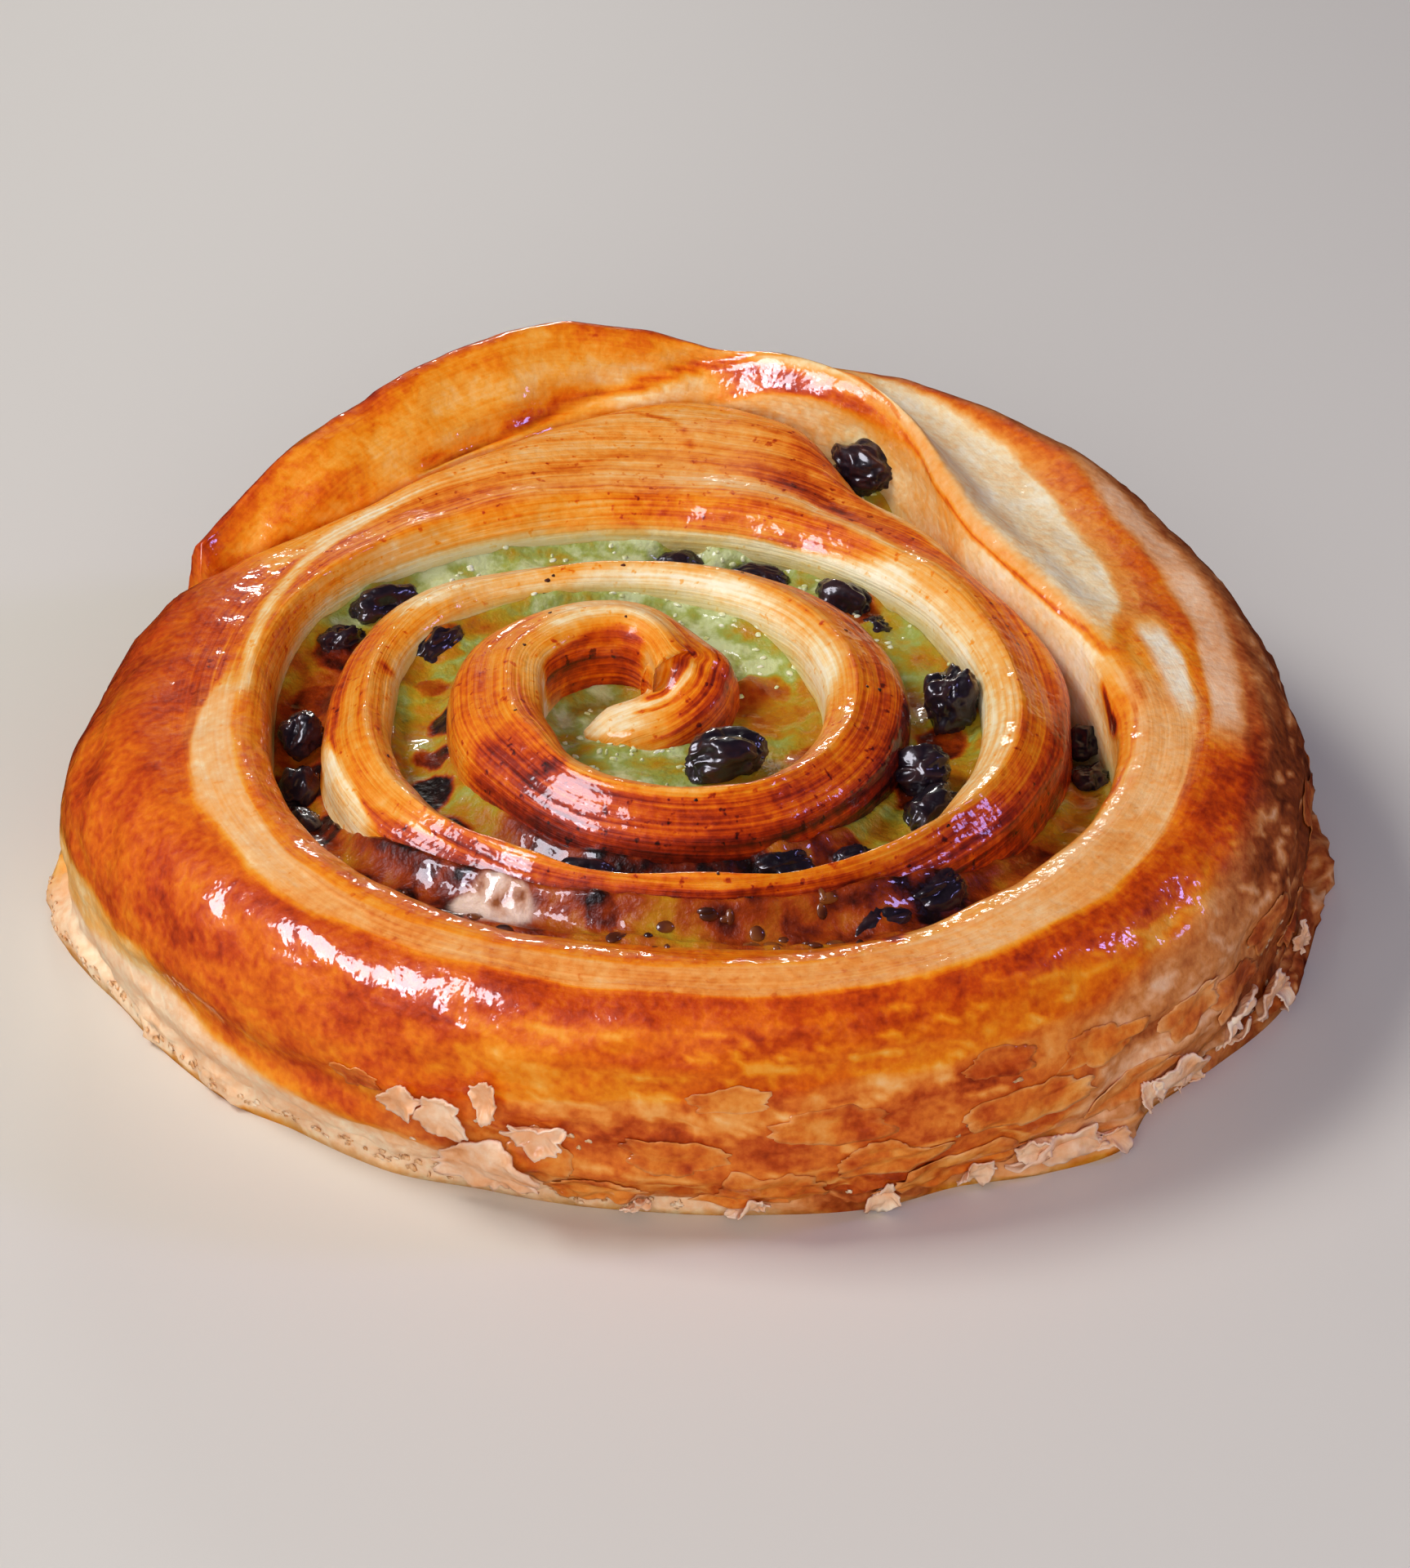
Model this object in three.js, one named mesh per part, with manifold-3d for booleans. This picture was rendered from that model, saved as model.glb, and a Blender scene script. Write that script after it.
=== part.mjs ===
// Pain aux raisins: a strip of laminated dough wound into a flat spiral of about three and a
// half turns, with pastry cream and raisins between the turns. Sizes are in millimetres.
// The pastry lies flat on z = 0, the spiral opens anticlockwise seen from above, and its
// loose end folds over the back (+y) as a raised flap.
import * as THREE from 'three';
import { mergeVertices } from 'three/addons/utils/BufferGeometryUtils.js';
import Module from 'manifold-3d';

const wasm = await Module();
wasm.setup();

// Driving sizes of the spiral
const SPIRAL_MIDDLE = [-7.0, -10.35];  // plan position of the spiral's middle
const TIP_ANGLE = -135;                // the strip's inner end, degrees
const END_ANGLE = 1221;                // the strip's outer end, degrees
const STATION_STEP = 9;                // degrees from one cross-section to the next
const TURN = 360;
const LOW_GAP = 1.8;                   // least room for the cream low down between two turns
const CREAM_PLAY = 0.36;               // play between the cream and the dough
const RAISIN_PLAY = 0.32;              // play round each raisin
const RAISIN_WRINKLE = 0.16;           // depth of a raisin's wrinkles, as a share of its radius

// Radius of the strip's inner top edge at the eight compass points of each turn, starting on
// the right and going anticlockwise
const RIM_TURNS = [
  [4.0, 5.5, 10.4, 8.6, 6.9, 8.3, 14.4, 19.6],
  [19.9, 21.6, 22.5, 23.6, 21.4, 22.6, 27.2, 33.0],
  [35.1, 36.5, 36.2, 38.0, 33.0, 32.7, 34.2, 43.0],
];
const RIM_TIP = [[-135, 3.3], [-90, 3.2], [-45, 3.6]];
const RIM_END = [
  [1080, 47.8], [1096, 46.6], [1112, 45.3], [1120, 45.9], [1129, 49.0], [1138, 53.8],
  [1146, 56.6], [1160, 57.5], [1168, 55.6], [1176, 53.3], [1184, 50.2], [1193, 48.3],
  [1203, 47.7], [1212, 49.2], [1218, 51.0], [1224, 53.0],
];
const RIM_HEIGHT = [
  [-135, 24.5], [-90, 26.5], [0, 29.0], [90, 30.0], [270, 29.5], [360, 28.2], [450, 27.8],
  [540, 26.6], [630, 26.8], [720, 26.3], [810, 26.2], [900, 25.2], [990, 24.3], [1050, 24.6],
  [1080, 25.2], [1096, 27.0], [1112, 28.3], [1129, 30.0], [1146, 33.0], [1154, 31.6],
  [1162, 29.2], [1184, 29.0], [1203, 26.6], [1224, 22.6],
];

// Radius of the strip's outer edge. Inside the pastry this is where the strip meets the cream,
// and on the last turn it is the widest bulge of the outer wall.
const WIDTH_TIP = [3.0, 4.6, 6.6];
const WIDTH_TURNS = [
  [8.0, 9.0, 7.0, 9.4, 9.1, 8.6, 7.8, 6.4],
  [8.0, 7.8, 5.6, 7.0, 6.6, 5.4, 3.4, 4.4],
];
const OUTER_LATER = [
  [720, 43.2], [737, 44.9], [758, 44.2], [768, 46.8], [779, 49.2], [786, 53.0], [793, 55.4],
  [801, 56.2], [808, 54.7], [816, 52.5], [824, 49.6], [833, 47.7], [843, 47.1], [851, 48.2],
  [858, 50.2], [864, 52.2], [870, 53.6], [880, 54.4], [890, 54.3], [900, 53.4], [915, 50.2],
  [930, 47.6], [945, 46.1], [960, 45.6], [990, 47.3], [1005, 49.6], [1020, 52.6],
  [1035, 56.2], [1050, 60.0], [1065, 63.7], [1080, 66.6], [1095, 68.9], [1110, 71.2],
  [1125, 72.5], [1140, 72.0], [1155, 70.2], [1170, 68.2], [1185, 66.0], [1200, 62.6],
  [1212, 59.2], [1218, 57.4], [1224, 55.6],
];
const OUTER_HEIGHT = [
  [-135, 23.0], [-90, 24.5], [0, 25.5], [90, 26.4], [180, 25.2], [270, 24.8], [360, 24.6],
  [450, 25.0], [540, 23.6], [630, 23.4], [720, 22.4], [737, 24.2], [758, 25.2], [779, 24.6],
  [793, 28.4], [808, 29.2], [824, 28.4], [843, 26.4], [858, 23.6], [864, 21.5], [872, 18.0], [885, 12.5],
  [1224, 12.0],
];

// The crest is the highest line of the strip, the shoulder the line where its top turns down
const CREST_LATER = [
  [720, 38.6], [765, 39.6], [810, 38.9], [855, 38.8], [900, 35.6], [930, 35.3], [960, 35.9],
  [990, 37.9], [1020, 43.5], [1050, 48.0], [1080, 50.2], [1096, 48.2], [1112, 46.8],
  [1120, 47.3], [1129, 50.4], [1138, 55.3], [1146, 58.4], [1160, 60.6], [1168, 61.6],
  [1176, 61.9], [1184, 60.6], [1193, 58.4], [1203, 56.2], [1212, 54.8], [1224, 53.9],
];
const CREST_RISE = [
  [-135, 0.3], [0, 0.7], [450, 0.8], [720, 1.0], [810, 1.9], [900, 0.7], [1080, 0.5],
  [1112, 0.7], [1146, 0.9], [1156, 2.8], [1168, 5.2], [1176, 5.7], [1193, 4.6], [1203, 4.8],
  [1212, 3.8], [1224, 2.2],
];
const SHOULDER_LATER = [
  [720, 41.6], [758, 43.0], [779, 46.2], [793, 51.6], [808, 51.2], [824, 47.0], [843, 44.6],
  [858, 43.4], [875, 41.6], [900, 41.0], [930, 40.0], [960, 39.8], [990, 42.4], [1020, 48.3],
  [1050, 53.0], [1080, 57.0], [1096, 58.6], [1112, 60.8], [1120, 63.0], [1129, 66.0],
  [1146, 66.8], [1168, 66.2], [1184, 64.4], [1203, 59.8], [1212, 57.2], [1224, 54.8],
];
const SHOULDER_HEIGHT = [
  [-135, 24.2], [0, 28.4], [90, 29.6], [270, 28.4], [360, 27.6], [450, 27.4], [540, 26.0],
  [630, 25.6], [720, 25.0], [758, 27.0], [779, 27.4], [793, 29.8], [808, 30.2], [824, 29.2],
  [843, 27.2], [858, 26.2], [900, 25.0], [990, 24.2], [1080, 25.2], [1096, 25.8],
  [1112, 26.8], [1129, 28.2], [1146, 29.4], [1168, 28.8], [1203, 27.4], [1224, 23.6],
];
const DISH = [[-135, 0], [1085, 0], [1112, 1.2], [1138, 3.4], [1150, 0.6], [1160, 0], [1224, 0]];
const FOOT_REACH = [
  [-135, 0], [858, 0], [870, 1.2], [888, 2.8], [900, 0.8], [906, -0.7], [915, -2.0],
  [936, -2.2], [947, -3.4], [960, -3.2], [975, -4.6], [1005, -4.4], [1020, -3.6],
  [1028, -4.2], [1037, -2.0], [1044, -0.6], [1052, -3.2], [1060, -2.2], [1071, 0.4],
  [1081, 1.4], [1090, 3.2], [1101, 4.0], [1112, 0.6], [1125, -1.0], [1200, -1.0], [1224, 0],
];

// Height of the cream between a turn and the one inside it
const POCKET_HEIGHT = 22.6;
const CREAM_FIRST = 207;
const CREAM_LAST = 1161;
const CREAM_HEIGHT = [
  [207, 22.0], [250, 23.2], [300, 24.0], [345, 22.6], [385, 22.4], [405, 24.0], [430, 25.4],
  [450, 25.8], [500, 24.6], [540, 23.4], [585, 22.6], [630, 22.8], [675, 22.4], [720, 21.4],
  [765, 22.6], [810, 23.6], [855, 21.8], [880, 20.0], [900, 18.8], [945, 22.0], [965, 23.2],
  [990, 23.5], [1020, 23.2], [1035, 22.4], [1060, 19.4], [1084, 17.0], [1096, 12.0],
  [1104, 9.0], [1128, 9.0], [1136, 19.0], [1144, 22.5], [1152, 21.0], [1161, 10.0],
];

// Raisins: angle and radius from the spiral's middle, height of the centre, then the
// length, width and thickness, and the turn of the long axis in plan
const RAISINS = [
  { name: 'raisin_01', at: [337, 11.5, 24.6], size: [8.4, 6.0, 5.4], turn: 12 },
  { name: 'raisin_02', at: [139, 23.2, 24.2], size: [7.2, 4.0, 5.2], turn: 58 },
  { name: 'raisin_03', at: [108, 24.0, 24.6], size: [6.2, 4.4, 4.4], turn: 10 },
  { name: 'raisin_04', at: [37, 16.0, 20.6], size: [4.6, 3.8, 3.6], turn: 80 },
  { name: 'raisin_05', at: [50, 34.2, 23.2], size: [6.4, 5.6, 5.4], turn: -30 },
  { name: 'raisin_06', at: [42, 33.8, 21.6], size: [4.6, 3.8, 3.6], turn: 40 },
  { name: 'raisin_07', at: [12, 33.0, 23.8], size: [7.6, 5.4, 6.8], turn: 75 },
  { name: 'raisin_08', at: [349, 29.6, 23.8], size: [6.0, 5.4, 5.0], turn: 20 },
  { name: 'raisin_09', at: [340, 31.6, 22.0], size: [7.2, 5.6, 6.2], turn: 60 },
  { name: 'raisin_10', at: [264, 23.8, 23.6], size: [7.8, 4.4, 4.6], turn: -8 },
  { name: 'raisin_11', at: [306, 27.0, 23.0], size: [5.6, 4.0, 4.2], turn: 14 },
  { name: 'raisin_12', at: [318, 30.0, 22.6], size: [5.0, 3.8, 3.8], turn: 30 },
  { name: 'raisin_13', at: [131, 35.4, 22.4], size: [7.6, 4.4, 4.8], turn: 32 },
  { name: 'raisin_14', at: [142, 34.8, 21.0], size: [6.0, 4.4, 4.6], turn: 50 },
  { name: 'raisin_15', at: [171, 30.8, 21.2], size: [5.6, 4.6, 4.8], turn: 80 },
  { name: 'raisin_16', at: [183, 30.2, 18.8], size: [6.6, 4.4, 5.0], turn: 85 },
  { name: 'raisin_17', at: [195, 30.0, 18.4], size: [5.0, 4.0, 4.4], turn: -70 },
  { name: 'raisin_18', at: [309, 38.8, 22.4], size: [7.4, 4.2, 4.6], turn: 28 },
  { name: 'raisin_19', at: [320, 39.2, 22.6], size: [6.6, 4.2, 4.6], turn: 44 },
  { name: 'raisin_20', at: [10, 46.0, 18.0], size: [4.4, 4.0, 4.0], turn: 70 },
  { name: 'raisin_21', at: [2, 45.6, 17.4], size: [5.2, 4.4, 4.0], turn: 80 },
  { name: 'raisin_22', at: [63, 54.8, 25.4], size: [7.8, 5.2, 5.8], turn: -42 },
  { name: 'raisin_23', at: [80, 34.8, 22.6], size: [5.4, 3.4, 3.0], turn: 0 },
  { name: 'raisin_24', at: [67, 34.8, 22.5], size: [7.0, 3.4, 3.0], turn: -14 },
];

// Open pits in the cream at the back, with a raisin in the bottom of each
const PITS = [
  { at: [80, 34.8, 23.8], size: [6.4, 4.2, 4.0], turn: 0 },
  { at: [67, 34.8, 23.6], size: [8.2, 4.2, 4.0], turn: -14 },
  { at: [54, 15.4, 22.2], size: [7.0, 5.0, 4.6], turn: -20 },
];

// Loose flakes of crust lying on the front wall: compass angle, height, width along the wall,
// depth and lean outwards
const FLAKES = [
  { angle: 246, z: 12.0, width: 4.6, depth: 3.4, lean: 10 },
  { angle: 251, z: 11.4, width: 5.0, depth: 4.4, lean: 12 },
  { angle: 256, z: 14.6, width: 3.2, depth: 4.8, lean: 6 },
  { angle: 262, z: 11.0, width: 6.4, depth: 4.0, lean: 12 },
  { angle: 255, z: 6.4, width: 13.0, depth: 6.4, lean: 10 },
  { angle: 319, z: 3.4, width: 9.0, depth: 4.4, lean: 26 },
  { angle: 331, z: 5.8, width: 7.0, depth: 4.4, lean: 18 },
  { angle: 338, z: 8.0, width: 6.0, depth: 4.0, lean: 14 },
  { angle: 345, z: 5.8, width: 7.0, depth: 4.4, lean: 22 },
];
const FLAKE_THICKNESS = 0.8;
const FLAKE_LIFT = 0.7;

const DOUGH_COLOUR = 0xc8742a;
const CREAM_COLOUR = 0xb4a044;
const RAISIN_COLOUR = 0x1c1418;

const radians = (degrees) => degrees * Math.PI / 180;
const mix = (a, b, share) => a + (b - a) * share;
const clamp = (value, low, high) => Math.min(high, Math.max(low, value));

// A smooth curve through [angle, value] knots, level where the knots turn back
function along(knots, angle) {
  const last = knots.length - 1;
  if (angle <= knots[0][0]) return knots[0][1];
  if (angle >= knots[last][0]) return knots[last][1];
  let i = 0;
  while (knots[i + 1][0] < angle) i += 1;
  const slope = (k) => {
    if (k === 0 || k === last) return 0;
    const before = (knots[k][1] - knots[k - 1][1]) / (knots[k][0] - knots[k - 1][0]);
    const after = (knots[k + 1][1] - knots[k][1]) / (knots[k + 1][0] - knots[k][0]);
    return before * after <= 0 ? 0 : 2 * before * after / (before + after);
  };
  const span = knots[i + 1][0] - knots[i][0];
  const t = (angle - knots[i][0]) / span;
  const rise = knots[i + 1][1] - knots[i][1];
  const bend = t * (1 - t) * ((slope(i) * span - rise) * (1 - t) - (slope(i + 1) * span - rise) * t);
  return mix(knots[i][1], knots[i + 1][1], t) + bend;
}

// The eight-point turns, written out as [angle, value] knots from the first turn on
function compassKnots(turns) {
  return turns.flatMap((turn, n) => turn.map((value, i) => [n * TURN + i * TURN / 8, value]));
}

const RIM = [...RIM_TIP, ...compassKnots(RIM_TURNS), ...RIM_END];
const EARLY_WIDTHS = [...WIDTH_TIP, ...WIDTH_TURNS.flat()];
const OUTER = [
  ...EARLY_WIDTHS.map((width, i) => [RIM[i][0], RIM[i][1] + width]),
  ...OUTER_LATER,
];

const rimRadius = (angle) => along(RIM, angle);
const outerRadius = (angle) => along(OUTER, angle);

const hasInside = (angle) => angle - TURN >= TIP_ANGLE;
const hasOutside = (angle) => angle + TURN <= END_ANGLE;

// Gap above the cream between a turn and the one inside it, and the narrower gap low down
const topGap = (angle) => rimRadius(angle) - outerRadius(angle - TURN);
const lowGap = (angle) => Math.max(0.45 * topGap(angle), LOW_GAP);
const gapMiddle = (angle) => 0.5 * (rimRadius(angle) + outerRadius(angle - TURN));

function innerFoot(angle) {
  if (hasInside(angle)) return gapMiddle(angle) + 0.5 * lowGap(angle);
  return rimRadius(angle) - 0.6;
}

function outerFoot(angle) {
  if (hasOutside(angle)) return gapMiddle(angle + TURN) - 0.5 * lowGap(angle + TURN);
  return Math.max(outerRadius(angle) + along(FOOT_REACH, angle), innerFoot(angle) + 1.2);
}

// The strip's section at an angle: points [radius, z] from the inner foot up over the top and
// down to the outer foot
function doughSection(angle) {
  const rim = rimRadius(angle);
  const rimZ = along(RIM_HEIGHT, angle);
  const outer = outerRadius(angle);
  const outerZ = along(OUTER_HEIGHT, angle);
  const width = outer - rim;
  const later = clamp((angle - 690) / 30, 0, 1);
  const crest = mix(rim + 0.36 * width, along(CREST_LATER, angle), later);
  const crestZ = rimZ + along(CREST_RISE, angle);
  const shoulder = mix(rim + 0.72 * width, along(SHOULDER_LATER, angle), later);
  const shoulderZ = along(SHOULDER_HEIGHT, angle);
  const dish = along(DISH, angle);
  const inFoot = innerFoot(angle);
  const outFoot = outerFoot(angle);
  const free = hasOutside(angle) ? 0 : 1;
  const points = [
    [inFoot, 0],
    [inFoot, 8],
    [mix(inFoot, rim, 0.55), rimZ - 9],
    [rim - 0.1, rimZ - 4.6],
    [rim, rimZ - 1.6],
    [rim + Math.min(0.5, 0.2 * (crest - rim)), rimZ - 0.35],
    [crest, crestZ],
    [mix(crest, shoulder, 0.34), mix(crestZ, shoulderZ, 0.28) - dish],
    [mix(crest, shoulder, 0.7), mix(crestZ, shoulderZ, 0.66) - 0.7 * dish],
    [shoulder, shoulderZ],
  ];
  if (free) {
    for (const t of [0.3, 0.58, 0.82]) {
      const swing = t * Math.PI / 2;
      points.push([
        mix(shoulder, outer, Math.sin(swing)),
        mix(outerZ, shoulderZ, Math.cos(swing)),
      ]);
    }
    points.push([outer, outerZ]);
    points.push([outer - 0.4, 7.6]);
    points.push([Math.max(mix(outer - 0.6, outFoot, 0.5) - 0.7, inFoot + 0.8), 3.4]);
    points.push([outFoot, 1.9]);
    points.push([outFoot - 0.1, 0]);
  } else {
    points.push([mix(shoulder, outer, 0.62), mix(shoulderZ, outerZ, 0.34)]);
    points.push([outer - 0.1, outerZ]);
    points.push([outer, outerZ - 2.2]);
    points.push([mix(outer, outFoot, 0.4), outerZ - 5.5]);
    points.push([mix(outer, outFoot, 0.8), 12.5]);
    points.push([outFoot, 8]);
    points.push([outFoot, 4]);
    points.push([outFoot, 0]);
  }
  return points;
}

// Radius of one side of a section at a height, read between its points
function wallAt(points, z) {
  for (let i = 0; i + 1 < points.length; i += 1) {
    const [r0, z0] = points[i];
    const [r1, z1] = points[i + 1];
    if ((z0 - z) * (z1 - z) <= 0 && z0 !== z1) return mix(r0, r1, (z - z0) / (z1 - z0));
  }
  return points[points.length - 1][0];
}

const innerWallAt = (angle, z) => wallAt(doughSection(angle), z);
const outerWallAt = (angle, z) => wallAt([...doughSection(angle)].reverse(), z);

function place(angle, radius, z) {
  return [
    SPIRAL_MIDDLE[0] + radius * Math.cos(radians(angle)),
    SPIRAL_MIDDLE[1] + radius * Math.sin(radians(angle)),
    z,
  ];
}

// A closed body swept through sections that all have the same number of points
function sweep(angles, sectionOf) {
  const rows = angles.map((angle) => sectionOf(angle).map(([r, z]) => place(angle, r, z)));
  const count = rows[0].length;
  const vertices = rows.flat();
  const triangles = [];
  for (let i = 0; i + 1 < rows.length; i += 1) {
    for (let j = 0; j < count; j += 1) {
      const k = (j + 1) % count;
      const a = i * count + j;
      const b = i * count + k;
      const c = (i + 1) * count + k;
      const d = (i + 1) * count + j;
      triangles.push([a, b, c], [a, c, d]);
    }
  }
  const outline = (row) => row.map(([x, y, z]) => new THREE.Vector2(
    Math.hypot(x - SPIRAL_MIDDLE[0], y - SPIRAL_MIDDLE[1]),
    z,
  ));
  const cap = (row, offset, flip) => {
    for (const [a, b, c] of THREE.ShapeUtils.triangulateShape(outline(row), [])) {
      const corners = [a + offset, b + offset, c + offset];
      triangles.push(flip ? corners.reverse() : corners);
    }
  };
  cap(rows[0], 0, false);
  cap(rows[rows.length - 1], (rows.length - 1) * count, true);
  return solidFrom(vertices, triangles);
}

function solidFrom(vertices, triangles) {
  const mesh = new wasm.Mesh({
    numProp: 3,
    vertProperties: new Float32Array(vertices.flat()),
    triVerts: new Uint32Array(triangles.flat()),
  });
  mesh.merge();
  const solid = new wasm.Manifold(mesh);
  if (solid.volume() > 0) return solid;
  const turned = triangles.map(([a, b, c]) => [a, c, b]);
  return new wasm.Manifold(new wasm.Mesh({
    numProp: 3,
    vertProperties: new Float32Array(vertices.flat()),
    triVerts: new Uint32Array(turned.flat()),
  }));
}

function solidFromGeometry(geometry) {
  const plain = geometry.clone();
  plain.deleteAttribute('normal');
  plain.deleteAttribute('uv');
  const merged = mergeVertices(plain, 1e-4);
  return new wasm.Manifold(new wasm.Mesh({
    numProp: 3,
    vertProperties: new Float32Array(merged.attributes.position.array),
    triVerts: new Uint32Array(merged.index.array),
  }));
}

function anglesFrom(first, last) {
  const angles = [];
  for (let angle = first; angle < last - 0.5 * STATION_STEP; angle += STATION_STEP) {
    angles.push(angle);
  }
  return [...angles, last];
}

function doughStrip() {
  return sweep(anglesFrom(TIP_ANGLE, END_ANGLE), doughSection);
}

// The cream's section between the turn at this angle and the one inside it
function creamSection(angle) {
  const top = along(CREAM_HEIGHT, angle);
  const inside = hasInside(angle)
    ? (z) => outerWallAt(angle - TURN, z) + CREAM_PLAY
    : () => 2.4;
  const outside = (z) => innerWallAt(angle, z) - CREAM_PLAY;
  const low = Math.min(8, 0.5 * top);
  const middle = Math.min(12.5, 0.7 * top);
  const levels = [0.3, low, middle];
  const sag = Math.min(0.7, 0.1 * (outside(top) - inside(top)));
  const surface = [0.3, 0.7].map((share) => {
    const wave = 0.35 * Math.sin(radians(angle * 5.3 + share * 200));
    return [mix(inside(top), outside(top), share), top - sag + wave];
  });
  const innerSide = [...levels, top].map((z) => [inside(z), z]);
  const outerSide = [...levels, top].map((z) => [outside(z), z]).reverse();
  return [...innerSide, ...surface, ...outerSide];
}

// The cream in the pocket round which the strip begins
function pocketCream() {
  const angles = anglesFrom(TIP_ANGLE, TIP_ANGLE + TURN - STATION_STEP);
  const levels = [0.3, 0.35 * POCKET_HEIGHT, 0.7 * POCKET_HEIGHT, POCKET_HEIGHT];
  const vertices = [];
  const triangles = [];
  for (const z of levels) {
    for (const angle of angles) {
      const wall = innerWallAt(angle, z) - CREAM_PLAY;
      vertices.push(place(angle, wall, z));
    }
  }
  const count = angles.length;
  for (let i = 0; i + 1 < levels.length; i += 1) {
    for (let j = 0; j < count; j += 1) {
      const k = (j + 1) % count;
      triangles.push([i * count + j, i * count + k, (i + 1) * count + k]);
      triangles.push([i * count + j, (i + 1) * count + k, (i + 1) * count + j]);
    }
  }
  const low = vertices.push(place(0, 0, levels[0])) - 1;
  const high = vertices.push(place(0, 0, POCKET_HEIGHT - 0.9)) - 1;
  const lift = (levels.length - 1) * count;
  for (let j = 0; j < count; j += 1) {
    const k = (j + 1) % count;
    triangles.push([low, k, j], [high, lift + j, lift + k]);
  }
  return solidFrom(vertices, triangles);
}

function creamSpiral() {
  return sweep(anglesFrom(CREAM_FIRST, CREAM_LAST), creamSection).add(pocketCream());
}

// An ellipsoid of a raisin's size, its long axis along x; the wrinkles run from end to end
function fruitGeometry(size, grow, wrinkle) {
  const ball = new THREE.SphereGeometry(1, 9, 5);
  const position = ball.attributes.position;
  const half = size.map((length) => length / 2 + grow);
  const point = new THREE.Vector3();
  for (let i = 0; i < position.count; i += 1) {
    point.fromBufferAttribute(position, i);
    const around = Math.atan2(point.z, point.x);
    const dent = 1 - wrinkle * (0.5 + 0.5 * Math.cos(4 * around)) * (1 - point.y * point.y);
    position.setXYZ(i, point.y * half[0], point.x * half[1] * dent, -point.z * half[2] * dent);
  }
  ball.computeVertexNormals();
  return ball;
}

// The room that a fruit or a pit takes out of the dough and the cream
function roomFor({ at, size, turn }, grow) {
  const room = fruitGeometry(size, grow, 0);
  room.rotateZ(radians(turn));
  room.translate(...place(...at));
  return solidFromGeometry(room);
}

function raisinMesh({ name, at, size, turn }, material) {
  const mesh = new THREE.Mesh(fruitGeometry(size, 0, RAISIN_WRINKLE), material);
  mesh.name = name;
  mesh.position.set(...place(...at));
  mesh.rotation.z = radians(turn);
  return mesh;
}

// A small curled plate of crust standing off the front wall
function flake({ angle, z, width, depth, lean }) {
  const plate = new THREE.BoxGeometry(FLAKE_THICKNESS, width, depth, 1, 4, 1);
  const position = plate.attributes.position;
  for (let i = 0; i < position.count; i += 1) {
    const share = 2 * position.getY(i) / width;
    const ragged = 1 - 0.35 * share * share;
    position.setZ(i, position.getZ(i) * ragged);
    position.setX(i, position.getX(i) - 0.08 * width * share * share);
  }
  const turn = angle + 2 * TURN;
  plate.applyMatrix4(new THREE.Matrix4().makeRotationY(radians(-lean)));
  plate.applyMatrix4(new THREE.Matrix4().makeRotationZ(radians(angle)));
  const [x, y] = place(angle, outerWallAt(turn, z) + FLAKE_LIFT, z);
  plate.translate(x, y, z);
  return solidFromGeometry(plate);
}

function meshOf(solid, name, material) {
  const result = solid.getMesh();
  const geometry = new THREE.BufferGeometry();
  const stride = result.numProp;
  const points = new Float32Array(result.vertProperties.length / stride * 3);
  for (let i = 0; i < points.length / 3; i += 1) {
    for (let k = 0; k < 3; k += 1) points[3 * i + k] = result.vertProperties[i * stride + k];
  }
  geometry.setAttribute('position', new THREE.BufferAttribute(points, 3));
  geometry.setIndex(new THREE.BufferAttribute(new Uint32Array(result.triVerts), 1));
  geometry.computeVertexNormals();
  const mesh = new THREE.Mesh(geometry, material);
  mesh.name = name;
  return mesh;
}

const clearances = RAISINS.map((raisin) => roomFor(raisin, RAISIN_PLAY));

function dough() {
  let body = doughStrip();
  for (const room of clearances) body = body.subtract(room);
  for (const item of FLAKES) body = body.add(flake(item));
  const belowTable = new THREE.BoxGeometry(200, 200, 10);
  belowTable.translate(0, 0, -5);
  return body.subtract(solidFromGeometry(belowTable));
}

function cream() {
  let body = creamSpiral();
  for (const pit of PITS) body = body.subtract(roomFor(pit, 0));
  for (const room of clearances) body = body.subtract(room);
  return body;
}

const group = new THREE.Group();
const doughMaterial = new THREE.MeshStandardMaterial({ color: DOUGH_COLOUR, roughness: 0.4 });
const creamMaterial = new THREE.MeshStandardMaterial({ color: CREAM_COLOUR, roughness: 0.35 });
const raisinMaterial = new THREE.MeshStandardMaterial({ color: RAISIN_COLOUR, roughness: 0.3 });
group.add(meshOf(dough(), 'dough', doughMaterial));
group.add(meshOf(cream(), 'cream', creamMaterial));
for (const raisin of RAISINS) group.add(raisinMesh(raisin, raisinMaterial));

export default group;
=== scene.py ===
import math

import bpy
import numpy as np
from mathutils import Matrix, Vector


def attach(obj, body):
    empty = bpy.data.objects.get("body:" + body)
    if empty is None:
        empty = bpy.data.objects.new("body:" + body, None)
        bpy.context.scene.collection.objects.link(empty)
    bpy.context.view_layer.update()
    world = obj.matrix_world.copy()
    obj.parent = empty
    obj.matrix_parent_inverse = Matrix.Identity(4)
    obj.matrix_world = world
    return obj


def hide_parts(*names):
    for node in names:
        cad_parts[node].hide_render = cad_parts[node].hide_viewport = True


# Pain aux raisins: a glazed spiral of laminated dough round custard cream and raisins.
# Lengths are in millimetres in the tables and functions, and in metres on the meshes.
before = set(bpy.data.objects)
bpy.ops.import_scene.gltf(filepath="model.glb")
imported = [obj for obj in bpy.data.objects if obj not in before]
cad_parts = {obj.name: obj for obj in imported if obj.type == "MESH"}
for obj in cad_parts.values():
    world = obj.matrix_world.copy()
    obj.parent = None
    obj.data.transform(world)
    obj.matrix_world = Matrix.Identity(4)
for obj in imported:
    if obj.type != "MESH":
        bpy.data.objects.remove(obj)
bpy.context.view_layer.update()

MM = 0.001
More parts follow.
